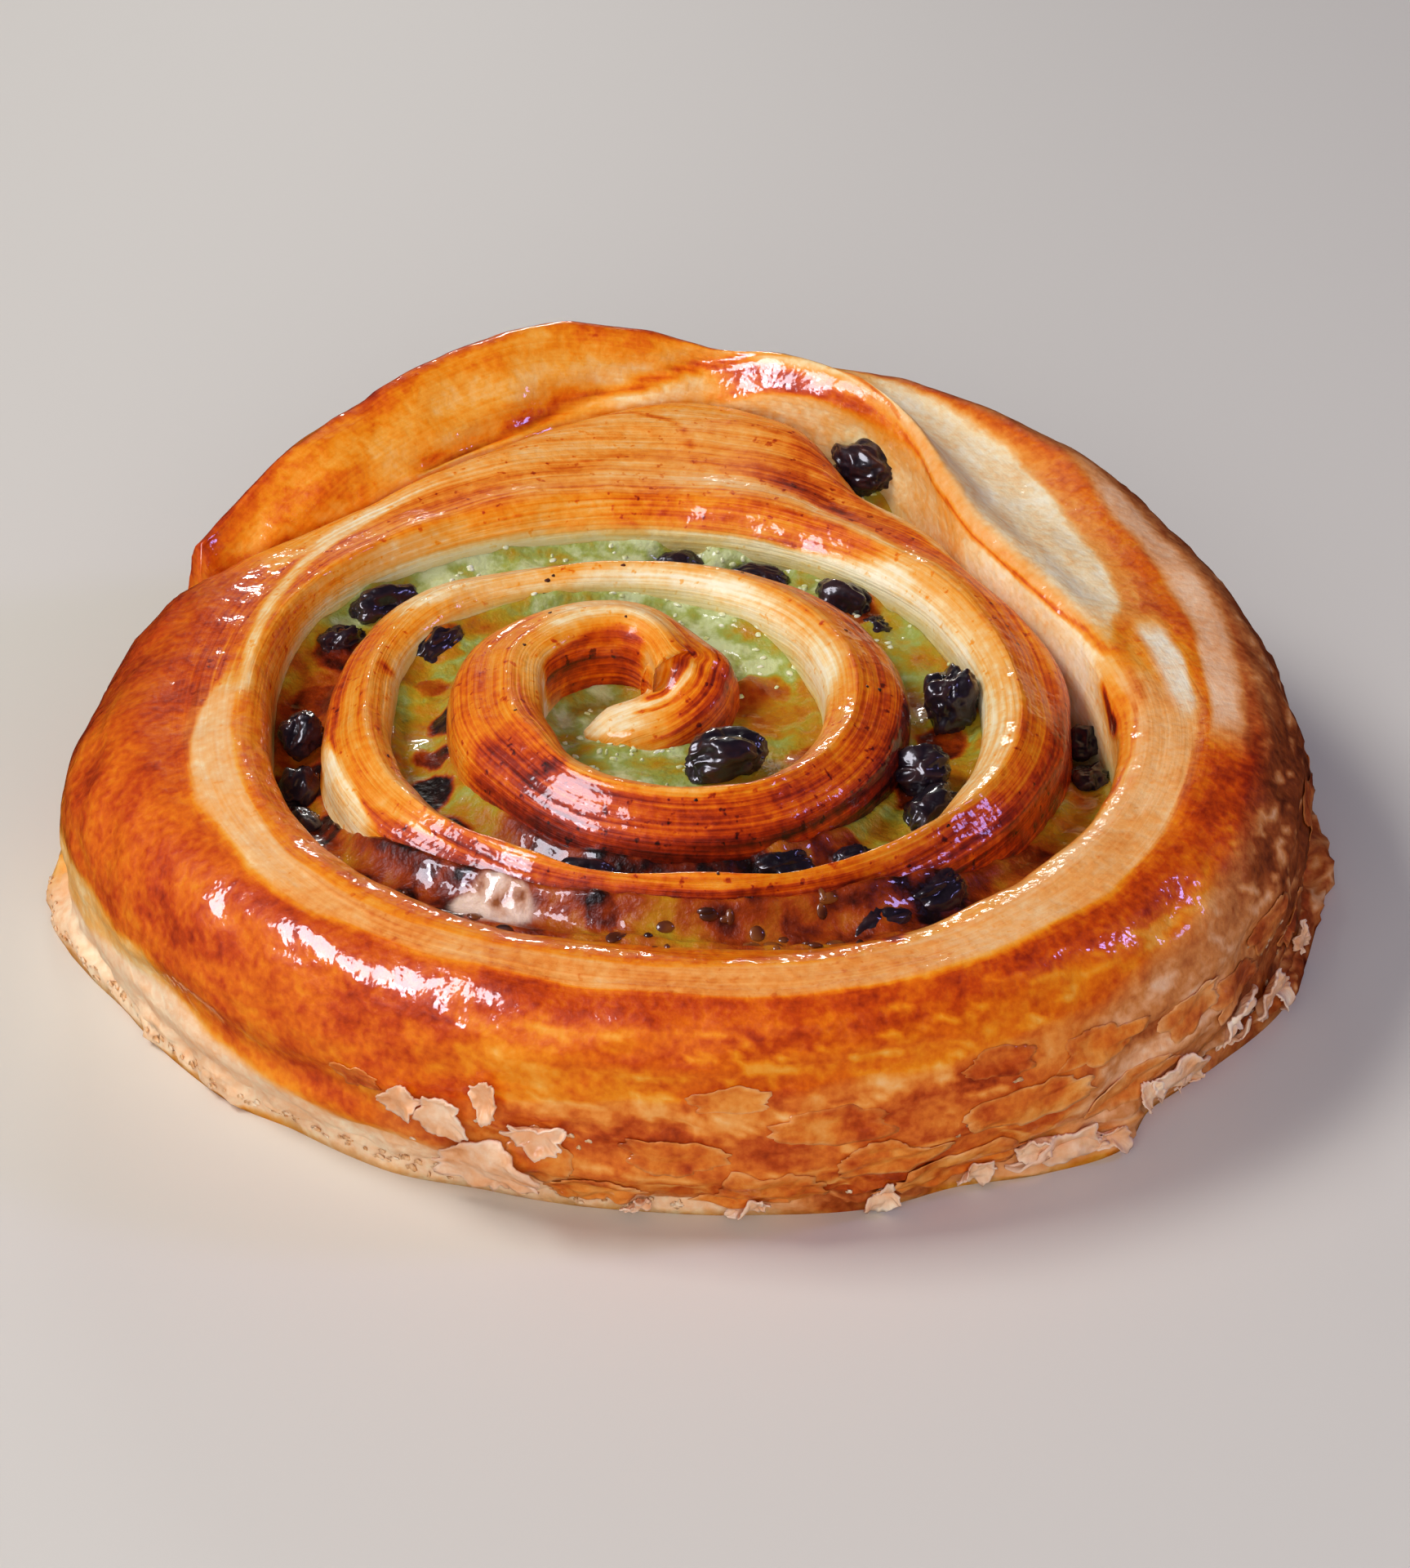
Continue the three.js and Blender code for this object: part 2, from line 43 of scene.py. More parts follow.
CM2_IN_M2 = 10000.0

# Driving sizes of the spiral, the same as the solid's
SPIRAL_MIDDLE = (-7.0, -10.35)
TIP_ANGLE = -135.0
END_ANGLE = 1221.0
TURN = 360.0
LOW_GAP = 1.8
RIM_TURNS = [
    [4.0, 5.5, 10.4, 8.6, 6.9, 8.3, 14.4, 19.6],
    [19.9, 21.6, 22.5, 23.6, 21.4, 22.6, 27.2, 33.0],
    [35.1, 36.5, 36.2, 38.0, 33.0, 32.7, 34.2, 43.0],
]
# The strip's inner end doubles back into the pocket as a broad tongue. Its middle line is
# (angle, x, y) from the spiral's middle, and its half widths hang on a nominal radius of 10.
HOOK_PATH = [
    (-135, -3.0, 2.1), (-118, -1.3, 2.5), (-92, 1.0, 2.8), (-62, 3.5, 3.1), (-30, 5.6, 4.1),
    (5, 6.9, 6.0), (30, 7.1, 7.8), (60, 6.0, 10.4),
]
HOOK_BLEND = (15.0, 58.0)
HOOK_LOOK = 4.0                       # degrees ahead and behind that give the hook's direction
RIM_TIP = [(-135, 9.7), (-127, 8.6), (-118, 7.8), (-92, 7.0), (-62, 6.9), (-30, 6.3), (5, 5.7)]
RIM_END = [
    (1080, 47.8), (1096, 46.6), (1112, 45.3), (1120, 45.9), (1129, 49.0), (1138, 53.8),
    (1146, 56.6), (1160, 57.5), (1168, 55.6), (1176, 53.3), (1184, 50.2), (1193, 48.3),
    (1203, 47.7), (1212, 49.2), (1218, 51.0), (1224, 53.0),
]
RIM_HEIGHT = [
    (-135, 22.9), (-110, 24.4), (-60, 25.6), (0, 27.4), (60, 29.4), (90, 30.0), (270, 29.5),
    (360, 28.2), (450, 27.8), (540, 26.6), (630, 26.8), (720, 26.3), (810, 26.2), (900, 25.2),
    (990, 24.3), (1050, 24.6), (1080, 25.2), (1096, 27.0), (1112, 28.3), (1129, 30.0),
    (1146, 33.0), (1154, 31.6), (1162, 29.2), (1184, 29.0), (1203, 26.6), (1224, 22.6),
]
WIDTH_TIP = [0.6, 2.6, 4.6, 6.6, 7.4, 8.8, 9.2]
WIDTH_TURNS = [
    [8.0, 9.0, 7.0, 9.4, 9.1, 8.6, 7.8, 6.4],
    [8.0, 7.8, 5.6, 7.0, 6.6, 5.4, 3.4, 4.4],
]
OUTER_LATER = [
    (720, 43.2), (737, 44.9), (758, 44.2), (768, 46.8), (779, 49.2), (786, 53.0), (793, 55.4),
    (801, 56.2), (808, 54.7), (816, 52.5), (824, 49.6), (833, 47.7), (843, 47.1), (851, 48.2),
    (858, 50.2), (864, 52.2), (870, 53.6), (880, 54.4), (890, 54.3), (900, 53.4), (915, 50.2),
    (930, 47.6), (945, 46.1), (960, 45.6), (990, 47.3), (1005, 49.6), (1020, 52.6),
    (1035, 56.2), (1050, 60.0), (1065, 63.7), (1080, 66.6), (1095, 68.9), (1110, 71.2),
    (1125, 72.5), (1140, 72.0), (1155, 70.2), (1170, 68.2), (1185, 66.0), (1200, 62.6),
    (1212, 59.2), (1218, 57.4), (1224, 55.6),
]
OUTER_HEIGHT = [
    (-135, 22.4), (-110, 22.9), (-60, 23.2), (0, 24.4), (90, 26.4), (180, 25.2), (270, 24.8),
    (360, 24.6), (450, 25.0), (540, 23.6), (630, 23.4), (720, 22.4), (737, 24.2), (758, 25.2),
    (779, 24.6), (793, 28.4), (808, 29.2), (824, 28.4), (843, 26.4), (858, 23.6), (864, 21.5),
    (872, 18.0), (885, 12.5), (1224, 12.0),
]
CREST_LATER = [
    (720, 38.6), (765, 39.6), (810, 38.9), (855, 38.8), (900, 35.6), (930, 35.3), (960, 35.9),
    (990, 37.9), (1020, 43.5), (1050, 48.0), (1080, 50.2), (1096, 48.2), (1112, 46.8),
    (1120, 47.3), (1129, 50.4), (1138, 55.3), (1146, 58.4), (1160, 60.6), (1168, 61.6),
    (1176, 61.9), (1184, 60.6), (1193, 58.4), (1203, 56.2), (1212, 54.8), (1224, 53.9),
]
CREST_RISE = [
    (-135, 0.3), (0, 0.7), (450, 0.8), (720, 1.0), (810, 1.9), (900, 0.7), (1080, 0.5),
    (1112, 0.7), (1146, 0.9), (1156, 2.8), (1168, 5.2), (1176, 5.7), (1193, 4.6), (1203, 4.8),
    (1212, 3.8), (1224, 2.2),
]
SHOULDER_LATER = [
    (720, 41.6), (758, 43.0), (779, 46.2), (793, 51.6), (808, 51.2), (824, 47.0), (843, 44.6),
    (858, 43.4), (875, 41.6), (900, 41.0), (930, 40.0), (960, 39.8), (990, 42.4), (1020, 48.3),
    (1050, 53.0), (1080, 57.0), (1096, 58.6), (1112, 60.8), (1120, 63.0), (1129, 66.0),
    (1146, 66.8), (1168, 66.2), (1184, 64.4), (1203, 59.8), (1212, 57.2), (1224, 54.8),
]
SHOULDER_HEIGHT = [
    (-135, 22.9), (-110, 24.2), (-60, 25.3), (0, 27.0), (90, 29.6), (270, 28.4), (360, 27.6),
    (450, 27.4), (540, 26.0), (630, 25.6), (720, 25.0), (758, 27.0), (779, 27.4), (793, 29.8),
    (808, 30.2), (824, 29.2), (843, 27.2), (858, 26.2), (900, 25.0), (990, 24.2), (1080, 25.2),
    (1096, 25.8), (1112, 26.8), (1129, 28.2), (1146, 29.4), (1168, 28.8), (1203, 27.4),
    (1224, 23.6),
]
DISH = [(-135, 0), (1085, 0), (1112, 1.2), (1138, 3.4), (1150, 0.6), (1160, 0), (1224, 0)]
FOOT_REACH = [
    (-135, 0), (858, 0), (870, 1.2), (888, 2.8), (900, 0.8), (906, -0.7), (915, -2.0),
    (936, -2.2), (947, -3.4), (960, -3.2), (975, -4.6), (1005, -4.4), (1020, -3.6),
    (1028, -4.2), (1037, -2.0), (1044, -0.6), (1052, -3.2), (1060, -2.2), (1071, 0.4),
    (1081, 1.4), (1090, 3.2), (1101, 4.0), (1112, 0.6), (1125, -1.0), (1200, -1.0), (1224, 0),
]
CREAM_LAST = 1161.0
POCKET_HEIGHT = 22.6
CREAM_HEIGHT = [
    (207, 22.0), (250, 23.2), (300, 24.0), (345, 22.6), (385, 22.4), (405, 24.0), (430, 25.4),
    (450, 25.8), (500, 24.6), (540, 23.4), (585, 22.6), (630, 22.8), (675, 22.4), (720, 21.4),
    (765, 22.6), (810, 23.6), (855, 21.8), (880, 20.0), (900, 18.8), (945, 22.0), (965, 23.2),
    (990, 23.5), (1020, 23.2), (1035, 22.4), (1060, 19.4), (1084, 17.0), (1096, 12.0),
    (1104, 9.0), (1128, 9.0), (1136, 19.0), (1144, 22.5), (1152, 21.0), (1161, 10.0),
]

# Raisins from 1 to 24: (angle, radius, height), (length, width, thickness), turn in plan
RAISINS = [
    ((337, 11.5, 24.6), (8.4, 6.0, 5.4), 12), ((139, 23.2, 24.2), (7.2, 4.0, 5.2), 58),
    ((108, 24.0, 24.6), (6.2, 4.4, 4.4), 10), ((37, 16.0, 20.6), (4.6, 3.8, 3.6), 80),
    ((50, 34.2, 23.2), (6.4, 5.6, 5.4), -30), ((42, 33.8, 21.6), (4.6, 3.8, 3.6), 40),
    ((12, 33.0, 23.8), (7.6, 5.4, 6.8), 75), ((349, 29.6, 23.8), (6.0, 5.4, 5.0), 20),
    ((340, 31.6, 22.0), (7.2, 5.6, 6.2), 60), ((264, 23.8, 23.6), (7.8, 4.4, 4.6), -8),
    ((306, 27.0, 23.0), (5.6, 4.0, 4.2), 14), ((318, 30.0, 22.6), (5.0, 3.8, 3.8), 30),
    ((131, 35.4, 22.4), (7.6, 4.4, 4.8), 32), ((142, 34.8, 21.0), (6.0, 4.4, 4.6), 50),
    ((171, 30.8, 21.2), (5.6, 4.6, 4.8), 80), ((183, 30.2, 18.8), (6.6, 4.4, 5.0), 85),
    ((195, 30.0, 18.4), (5.0, 4.0, 4.4), -70), ((309, 38.8, 22.4), (7.4, 4.2, 4.6), 28),
    ((320, 39.2, 22.6), (6.6, 4.2, 4.6), 44), ((10, 46.0, 18.0), (4.4, 4.0, 4.0), 70),
    ((2, 45.6, 17.4), (5.2, 4.4, 4.0), 80), ((63, 54.8, 25.4), (7.8, 5.2, 5.8), -42),
    ((80, 34.8, 22.6), (5.4, 3.4, 3.0), 0), ((67, 34.8, 22.5), (7.0, 3.4, 3.0), -14),
]

# Open pits in the cream: (angle, radius, height), (length, width, depth), turn in plan
PITS = [
    ((80, 34.8, 23.8), (6.4, 4.2, 4.0), 0),
    ((67, 34.8, 23.6), (8.2, 4.2, 4.0), -14),
    ((54, 15.4, 22.2), (7.0, 5.0, 4.6), -20),
]

# The diagonal fold over the raised flap: (angle, corner)
FLAP_CREASE = [(1155, 6.0), (1161, 5.75), (1166, 5.45), (1173, 5.25), (1182, 5.08), (1194, 5.0)]

# How the section's samples are shared out between its corners, inside the coil and on the
# last turn, whose outer wall is free
INSIDE_SHARES = [1, 3, 8, 7, 5, 11, 9, 9, 9, 7, 7, 5, 7, 3, 1, 1, 1]
OUTSIDE_SHARES = [1, 2, 5, 5, 4, 9, 8, 8, 8, 7, 7, 6, 6, 9, 7, 4, 2]
SECTION_SAMPLES = 97
CREST_CORNER = 6
OUTER_SIDE = 8                        # the corner from which the section runs down outside
STRIP_STEP = 0.86                     # length of strip between two cross-sections
FINE_STEPS = 6000                     # places at which the strip's length is measured
# Where the crest and the shoulder lie inside the coil, as shares of the strip's width, and
# the angles over which they go over to radii of their own
COIL_CREST, COIL_SHOULDER = 0.36, 0.72
OWN_RADII = (690, 720)
# How far the channel's wall lies under the rim on its way up to it
RIM_FALLS = (9, 4.6, 1.6, 0.35)
# The top between crest and shoulder: shares of the way across and of the way down
TOP_ACROSS, TOP_DOWN = (0.34, 0.7), (0.28, 0.66)
# Corners of the rounded shoulder over the free wall, as shares of a quarter turn
SHOULDER_SWINGS = (0.3, 0.58, 0.82)
# Heights of the channel's foot, the wall's base, the hollow over the lip, and the lip
CHANNEL_FOOT, WALL_BASE, LIP_HOLLOW, LIP_TOP = 8, 7.6, 3.4, 1.9
# Angles over which the outer wall comes free of the coil, and its samples are shared out anew
WALL_FREE = (855, 864)
SHARES_CHANGE = (850, 870)
# Before this angle the outer foot of the hook stands straight down
HOOK_FOOT_END = 50


# Helpers

def linear(hex_colour):
    """An sRGB hex colour as linear red, green, blue and 1."""
    parts = [int(hex_colour[i:i + 2], 16) / 255 for i in (1, 3, 5)]
    return [c / 12.92 if c <= 0.04045 else ((c + 0.055) / 1.055) ** 2.4 for c in parts] + [1.0]


def mix(a, b, share):
    return a + (b - a) * share


def smooth(low, high, value):
    t = np.clip((value - low) / (high - low), 0.0, 1.0)
    return t * t * (3 - 2 * t)


def risen(span, value):
    """0 before a span and 1 after it, rising evenly between."""
    return np.clip((value - span[0]) / (span[1] - span[0]), 0, 1)


def hump(middle, reach, value):
    """1 at the middle, falling smoothly to 0 at the reach."""
    return 1 - smooth(0, 1, np.abs((value - middle) / reach))


def window(rise, fall, value):
    """1 between two smooth edges, each given by where it starts and ends, and 0 outside."""
    return smooth(*rise, value) * (1 - smooth(*fall, value))


def along(knots, angles):
    """The smooth curve through [angle, value] knots, level where the knots turn back."""
    x, y = np.array(knots, float).T
    rise = np.diff(y) / np.diff(x)
    slope = np.zeros(len(x))
    both = rise[:-1] * rise[1:]
    total = np.where(both > 0, rise[:-1] + rise[1:], 1.0)
    slope[1:-1] = np.where(both > 0, 2 * both / total, 0.0)
    a = np.clip(angles, x[0], x[-1])
    i = np.clip(np.searchsorted(x, a, side="left") - 1, 0, len(x) - 2)
    span = x[i + 1] - x[i]
    t = (a - x[i]) / span
    gain = y[i + 1] - y[i]
    bend = t * (1 - t) * ((slope[i] * span - gain) * (1 - t) - (slope[i + 1] * span - gain) * t)
    return y[i] + gain * t + bend


def lattice(ix, iy, iz, seed):
    h = (ix * 374761393 + iy * 668265263 + iz * 1442695041 + seed * 974711) & 0xFFFFFFFF
    h = ((h ^ (h >> 13)) * 1274126177) & 0xFFFFFFFF
    return ((h ^ (h >> 16)) & 0xFFFF) / 32767.5 - 1.0


def noise(x, y, z, seed):
    """Smooth noise between -1 and 1 with features one unit across."""
    fx, fy, fz = np.floor(x), np.floor(y), np.floor(z)
    ix, iy, iz = fx.astype(np.int64), fy.astype(np.int64), fz.astype(np.int64)
    tx, ty, tz = x - fx, y - fy, z - fz
    tx = tx * tx * tx * (tx * (tx * 6 - 15) + 10)
    ty = ty * ty * ty * (ty * (ty * 6 - 15) + 10)
    tz = tz * tz * tz * (tz * (tz * 6 - 15) + 10)
    layers = []
    for dz in (0, 1):
        rows = []
        for dy in (0, 1):
            a = lattice(ix, iy + dy, iz + dz, seed)
            b = lattice(ix + 1, iy + dy, iz + dz, seed)
            rows.append(mix(a, b, tx))
        layers.append(mix(rows[0], rows[1], ty))
    return mix(layers[0], layers[1], tz)


def fractal(x, y, z, seed, octaves=3):
    total, size, reach = 0.0, 1.0, 0.0
    for k in range(octaves):
        scale = 2.03 ** k
        total = total + size * noise(x * scale + 7.1 * k, y * scale + 3.7 * k, z * scale, seed + k)
        reach += size
        size *= 0.5
    return total / reach


def clouds(x, y, size, seed, octaves=3, shift=0.0):
    """Fractal noise over the plan, with its broadest features of a size in mm."""
    return fractal(x / size, y / size, 0 * x + shift, seed, octaves)


# The strip's shape

def compass_knots(turns):
    """(angle, value) knots from values at every eighth of each turn."""
    return [(n * TURN + i * TURN / 8, value)
            for n, turn in enumerate(turns) for i, value in enumerate(turn)]


RIM = RIM_TIP + compass_knots(RIM_TURNS)[1:] + RIM_END
EARLY_WIDTHS = WIDTH_TIP + [value for turn in WIDTH_TURNS for value in turn][1:]
OUTER = [(RIM[i][0], RIM[i][1] + width) for i, width in enumerate(EARLY_WIDTHS)] + OUTER_LATER


def rim_radius(angle):
    return along(RIM, angle)


def outer_radius(angle):
    return along(OUTER, angle)


def low_gap(angle):
    """Width of the channel at the table between a turn and the one inside it."""
    return np.maximum(0.45 * (rim_radius(angle) - outer_radius(angle - TURN)), LOW_GAP)


def gap_middle(angle):
    return 0.5 * (rim_radius(angle) + outer_radius(angle - TURN))


def inner_foot(angle):
    inside = gap_middle(angle) + 0.5 * low_gap(angle)
    return np.where(angle - TURN >= TIP_ANGLE, inside, rim_radius(angle) - 0.6)


def section_corners(angle):
    """Corners (radius, height) of the strip's section at each angle, from the inner foot up
    over the top and down to the outer foot."""
    rim, outer = rim_radius(angle), outer_radius(angle)
    rim_z, outer_z = along(RIM_HEIGHT, angle), along(OUTER_HEIGHT, angle)
    width = outer - rim
    later = risen(OWN_RADII, angle)
    crest = mix(rim + COIL_CREST * width, along(CREST_LATER, angle), later)
    crest_z = rim_z + along(CREST_RISE, angle)
    shoulder = mix(rim + COIL_SHOULDER * width, along(SHOULDER_LATER, angle), later)
    shoulder_z = along(SHOULDER_HEIGHT, angle)
    dish = along(DISH, angle)
    in_foot = inner_foot(angle)
    zero = np.zeros_like(angle)
    low, high, under, over = (rim_z - fall for fall in RIM_FALLS)
    top = [
        (in_foot, zero), (in_foot, zero + CHANNEL_FOOT), (mix(in_foot, rim, 0.55), low),
        (rim - 0.1, high), (rim, under), (rim + np.minimum(0.5, 0.2 * (crest - rim)), over),
        (crest, crest_z),
    ]
    top += [(mix(crest, shoulder, far), mix(crest_z, shoulder_z, fall) - hollow * dish)
            for far, fall, hollow in zip(TOP_ACROSS, TOP_DOWN, (1, 0.7))]
    top.append((shoulder, shoulder_z))
    free_foot = np.maximum(outer + along(FOOT_REACH, angle), in_foot + 1.2)
    swings = [share * math.pi / 2 for share in SHOULDER_SWINGS]
    free = [(mix(shoulder, outer, math.sin(s)), mix(outer_z, shoulder_z, math.cos(s)))
            for s in swings]
    hollow = np.maximum(mix(outer - 0.6, free_foot, 0.5) - 0.7, in_foot + 0.8)
    free += [
        (outer, outer_z), (outer - 0.4, zero + WALL_BASE), (hollow, zero + LIP_HOLLOW),
        (free_foot, zero + LIP_TOP), (free_foot - 0.1, zero),
    ]
    foot = gap_middle(angle + TURN) - 0.5 * low_gap(angle + TURN)
    foot = np.where(angle < HOOK_FOOT_END, outer + 0.4, foot)
    covered = [
        (mix(shoulder, outer, 0.62), mix(shoulder_z, outer_z, 0.34)), (outer - 0.1, outer_z),
        (outer, outer_z - 2.2), (mix(outer, foot, 0.4), outer_z - 5.5),
        (mix(outer, foot, 0.8), zero + 12.5), (foot, zero + 8), (foot, zero + 4), (foot, zero),
    ]
    uncovered = risen(WALL_FREE, angle)
    lower = [(mix(c[0], f[0], uncovered), mix(c[1], f[1], uncovered))
             for c, f in zip(covered, free)]
    return np.array([np.stack(p, axis=-1) for p in top + lower]).transpose(1, 0, 2)


def curve_through(corners, u):
    """Points of the rounded line through each row of corners, at corner numbers u."""
    before = 2 * corners[:, :1] - corners[:, 1:2]
    after = 2 * corners[:, -1:] - corners[:, -2:-1]
    padded = np.concatenate([before, corners, after], axis=1)
    last = corners.shape[1] - 2
    i = np.clip(np.floor(u).astype(int), 0, last)
    t = (u - i)[..., None]
    rows = np.arange(len(corners))[:, None]
    p0, p1, p2, p3 = (padded[rows, i + k] for k in range(4))
    d0, d1, d2 = (np.sqrt(np.maximum(np.linalg.norm(b - a, axis=-1, keepdims=True), 1e-6))
                  for a, b in ((p0, p1), (p1, p2), (p2, p3)))
    m1 = d1 * ((p1 - p0) / d0 - (p2 - p0) / (d0 + d1) + (p2 - p1) / d1)
    m2 = d1 * ((p2 - p1) / d1 - (p3 - p1) / (d1 + d2) + (p3 - p2) / d2)
    a = (2 * t ** 3 - 3 * t ** 2 + 1) * p1 + (t ** 3 - 2 * t ** 2 + t) * m1
    return a + (-2 * t ** 3 + 3 * t ** 2) * p2 + (t ** 3 - t ** 2) * m2


def hooked(angle, radius):
    """The hook's own place in plan for a section's angle and nominal radius."""
    knots, x, y = np.array(HOOK_PATH).T
    a = np.clip(angle, knots[0], knots[-1])
    ahead = np.minimum(a + HOOK_LOOK, knots[-1])
    behind = np.maximum(a - HOOK_LOOK, knots[0])
    curve_x, curve_y = list(zip(knots, x)), list(zip(knots, y))
    tx = along(curve_x, ahead) - along(curve_x, behind)
    ty = along(curve_y, ahead) - along(curve_y, behind)
    long = np.maximum(np.hypot(tx, ty), 1e-6)
    middle = 0.5 * (rim_radius(a) + outer_radius(a))
    off = radius - middle
    return along(curve_x, a) + off * ty / long, along(curve_y, a) - off * tx / long


def strip_place(angle, radius, z):
    """Places on the strip: round the spiral's middle, except along the hooked inner end."""
    points = place(angle, radius, z)
    hook_x, hook_y = hooked(angle + 0 * radius, radius)
    share = 1 - smooth(*HOOK_BLEND, angle + 0 * radius)
    points[..., 0] = mix(points[..., 0], SPIRAL_MIDDLE[0] + hook_x, share)
    points[..., 1] = mix(points[..., 1], SPIRAL_MIDDLE[1] + hook_y, share)
    return points


def place(angle, radius, z):
    """Points at an angle and a radius from the spiral's middle."""
    swing = np.radians(angle)
    return np.stack([SPIRAL_MIDDLE[0] + radius * np.cos(swing),
                     SPIRAL_MIDDLE[1] + radius * np.sin(swing), z + 0 * radius], axis=-1)


def spot(angle, radius):
    """Where an angle and a radius lie in plan."""
    return place(np.array(float(angle)), np.array(float(radius)), 0.0)[:2]


def across_oval(x, y, angle, radius, half, turn):
    """How far places lie from the middle of a turned oval, counted so that its edge is at 1."""
    cx, cy = spot(angle, radius)
    c, s = math.cos(math.radians(turn)), math.sin(math.radians(turn))
    a = ((x - cx) * c + (y - cy) * s) / half[0]
    b = ((y - cy) * c - (x - cx) * s) / half[1]
    return np.hypot(a, b)


def strip_angles():
    """Angles of the cross-sections, evenly spaced along the strip's middle line, and how far
    along it they lie."""
    fine = np.linspace(TIP_ANGLE, END_ANGLE, FINE_STEPS)
    middle = 0.5 * (rim_radius(fine) + outer_radius(fine))
    x, y = middle * np.cos(np.radians(fine)), middle * np.sin(np.radians(fine))
    run = np.concatenate([[0], np.cumsum(np.hypot(np.diff(x), np.diff(y)))])
    count = int(run[-1] / STRIP_STEP)
    even = np.linspace(0, run[-1], count)
    return np.interp(even, run, fine), even


def corner_numbers(angles):
    """The corner number u of every sample in every cross-section."""
    out = risen(SHARES_CHANGE, angles)[:, None]
    shares = mix(np.array([INSIDE_SHARES], float), np.array([OUTSIDE_SHARES], float), out)
    edge = np.concatenate([np.zeros((len(angles), 1)), np.cumsum(shares, axis=1)], axis=1)
    edge /= edge[:, -1:]
    picks = np.linspace(0, 1, SECTION_SAMPLES)
    return np.array([np.interp(picks, row, np.arange(edge.shape[1])) for row in edge])


def grid_normals(points):
    """Unit normals of a grid of points whose second direction closes on itself."""
    down = np.gradient(points, axis=0)
    across = np.roll(points, -1, axis=1) - np.roll(points, 1, axis=1)
    normal = np.cross(across, down)
    return normal / np.maximum(np.linalg.norm(normal, axis=-1, keepdims=True), 1e-9)


def put_in_scene(name, data):
    """A new object of the scene that shows the data."""
    made = bpy.data.objects.new(name, data)
    bpy.context.scene.collection.objects.link(made)
    return made


def shade_smooth(mesh):
    mesh.polygons.foreach_set("use_smooth", [True] * len(mesh.polygons))


def mesh_piece(name, vertices, faces, material, attributes=()):
    """A mesh object from vertices in millimetres, with point attributes for its material."""
    mesh = bpy.data.meshes.new(name)
    mesh.from_pydata((np.asarray(vertices) * MM).tolist(), [], faces)
    for label, values in dict(attributes).items():
        values = np.asarray(values, np.float32)
        kind = "FLOAT" if values.ndim == 1 else "FLOAT_VECTOR"
        slot = mesh.attributes.new(label, kind, "POINT")
        slot.data.foreach_set("value" if values.ndim == 1 else "vector", values.ravel())
    shade_smooth(mesh)
    mesh.materials.append(material)
    mesh.update()
    return put_in_scene(name, mesh)


def grid_cells(rows, columns, closed):
    """Corner numbers of the cells of a grid of points, whose rows may close on themselves."""
    i, j = np.meshgrid(np.arange(rows - 1), np.arange(columns if closed else columns - 1),
                       indexing="ij")
    k = (j + 1) % columns
    return np.stack([i * columns + j, i * columns + k,
                     (i + 1) * columns + k, (i + 1) * columns + j], axis=-1)


def tube_faces(rows, columns):
    """Faces of a tube of rows of points, closed by fans round two more points at its ends."""
    faces = grid_cells(rows, columns, True).reshape(-1, 4).tolist()
    first, last = rows * columns, rows * columns + 1
    for j in range(columns):
        k = (j + 1) % columns
        faces.append([first, k, j])
        faces.append([last, (rows - 1) * columns + j, (rows - 1) * columns + k])
    return faces


# The dough

def strip_grid():
    """The strip before its relief: angles and lengths of its cross-sections, and for each of
    their samples the corner number, place in the section, point, and distance from the crest."""
    angles, run = strip_angles()
    u = corner_numbers(angles)
    section = curve_through(section_corners(angles), u)
    points = strip_place(angles[:, None], section[..., 0], section[..., 1])
    step = np.linalg.norm(np.diff(section, axis=1), axis=-1)
    across = np.concatenate([np.zeros((len(angles), 1)), np.cumsum(step, axis=1)], axis=1)
    crest = across[np.arange(len(angles)), np.argmin(np.abs(u - CREST_CORNER), axis=1)]
    return angles, run, u, section, points, across - crest[:, None]


# Waves in the crust: height, length along the strip, length across it, shift, seed and octaves
STREAKS = (0.07, 12, 0.95, 0.5, 11, 2)
LINES = (0.025, 18, 0.55, 3.5, 17, 1)
SWELL = (0.46, 9, 6, 0.2, 23, 2)
RIPPLE = (0.13, 3.2, 2.4, 6.2, 29, 3)
CRUMPLE = (1.0, 8, 5, 1.7, 31, 3)
DIMPLE = (0.42, 5, 4, 5.1, 37, 4)
SCUFFS = (0.26, 4.2, 1.6, 2.4, 45, 3)
PLEATS = (0.22, 2.0, 12, 7.7, 43, 2)
SKIN_EDGES = (3.0, 26, 6.5, 0.4, 41, 3)
SKIN_FRAY = (0.22, 2.2, 1.6, 0.0, 47, 1)
LIP_CRUMBS = (0.80, 1.7, 1.3, 0.0, 53, 3)
LIP_LAYERS = (0.48, 6, 0.9, 0.0, 59, 2)
CRUMPLE_HEIGHT = 0.45
SKIN_STEP = 0.34
GROOVE_DEPTH, GROOVE_CORNER = 0.9, 13.6
CREASE_DEPTH = 1.2
# Spans of angles over which the free wall, its rough part, the groove under it and the flap
# set in, and spans of corners over which the top, the wall and the lip do
WALL_SETS_IN = (850, 880)
ROUGH_SETS_IN, ROUGH_EASES = (955, 1000), (1095, 1130)
GROOVE_SETS_IN, GROOVE_ENDS = (900, 925), (975, 1000)
FLAP_SETS_IN = (1152, 1168)
TOP_BEGINS, TOP_ENDS = (3.5, 5.0), (10.5, 12.5)
WALL_BEGINS, LIP_BEGINS = (9.2, 11.0), (14.0, 15.0)


def waves(s, t, kind):
    """One kind of wave at places along and across the strip."""
    height, long, wide, shift, seed, octaves = kind
    return height * fractal(s / long, t / wide, 0 * s + shift, seed, octaves)


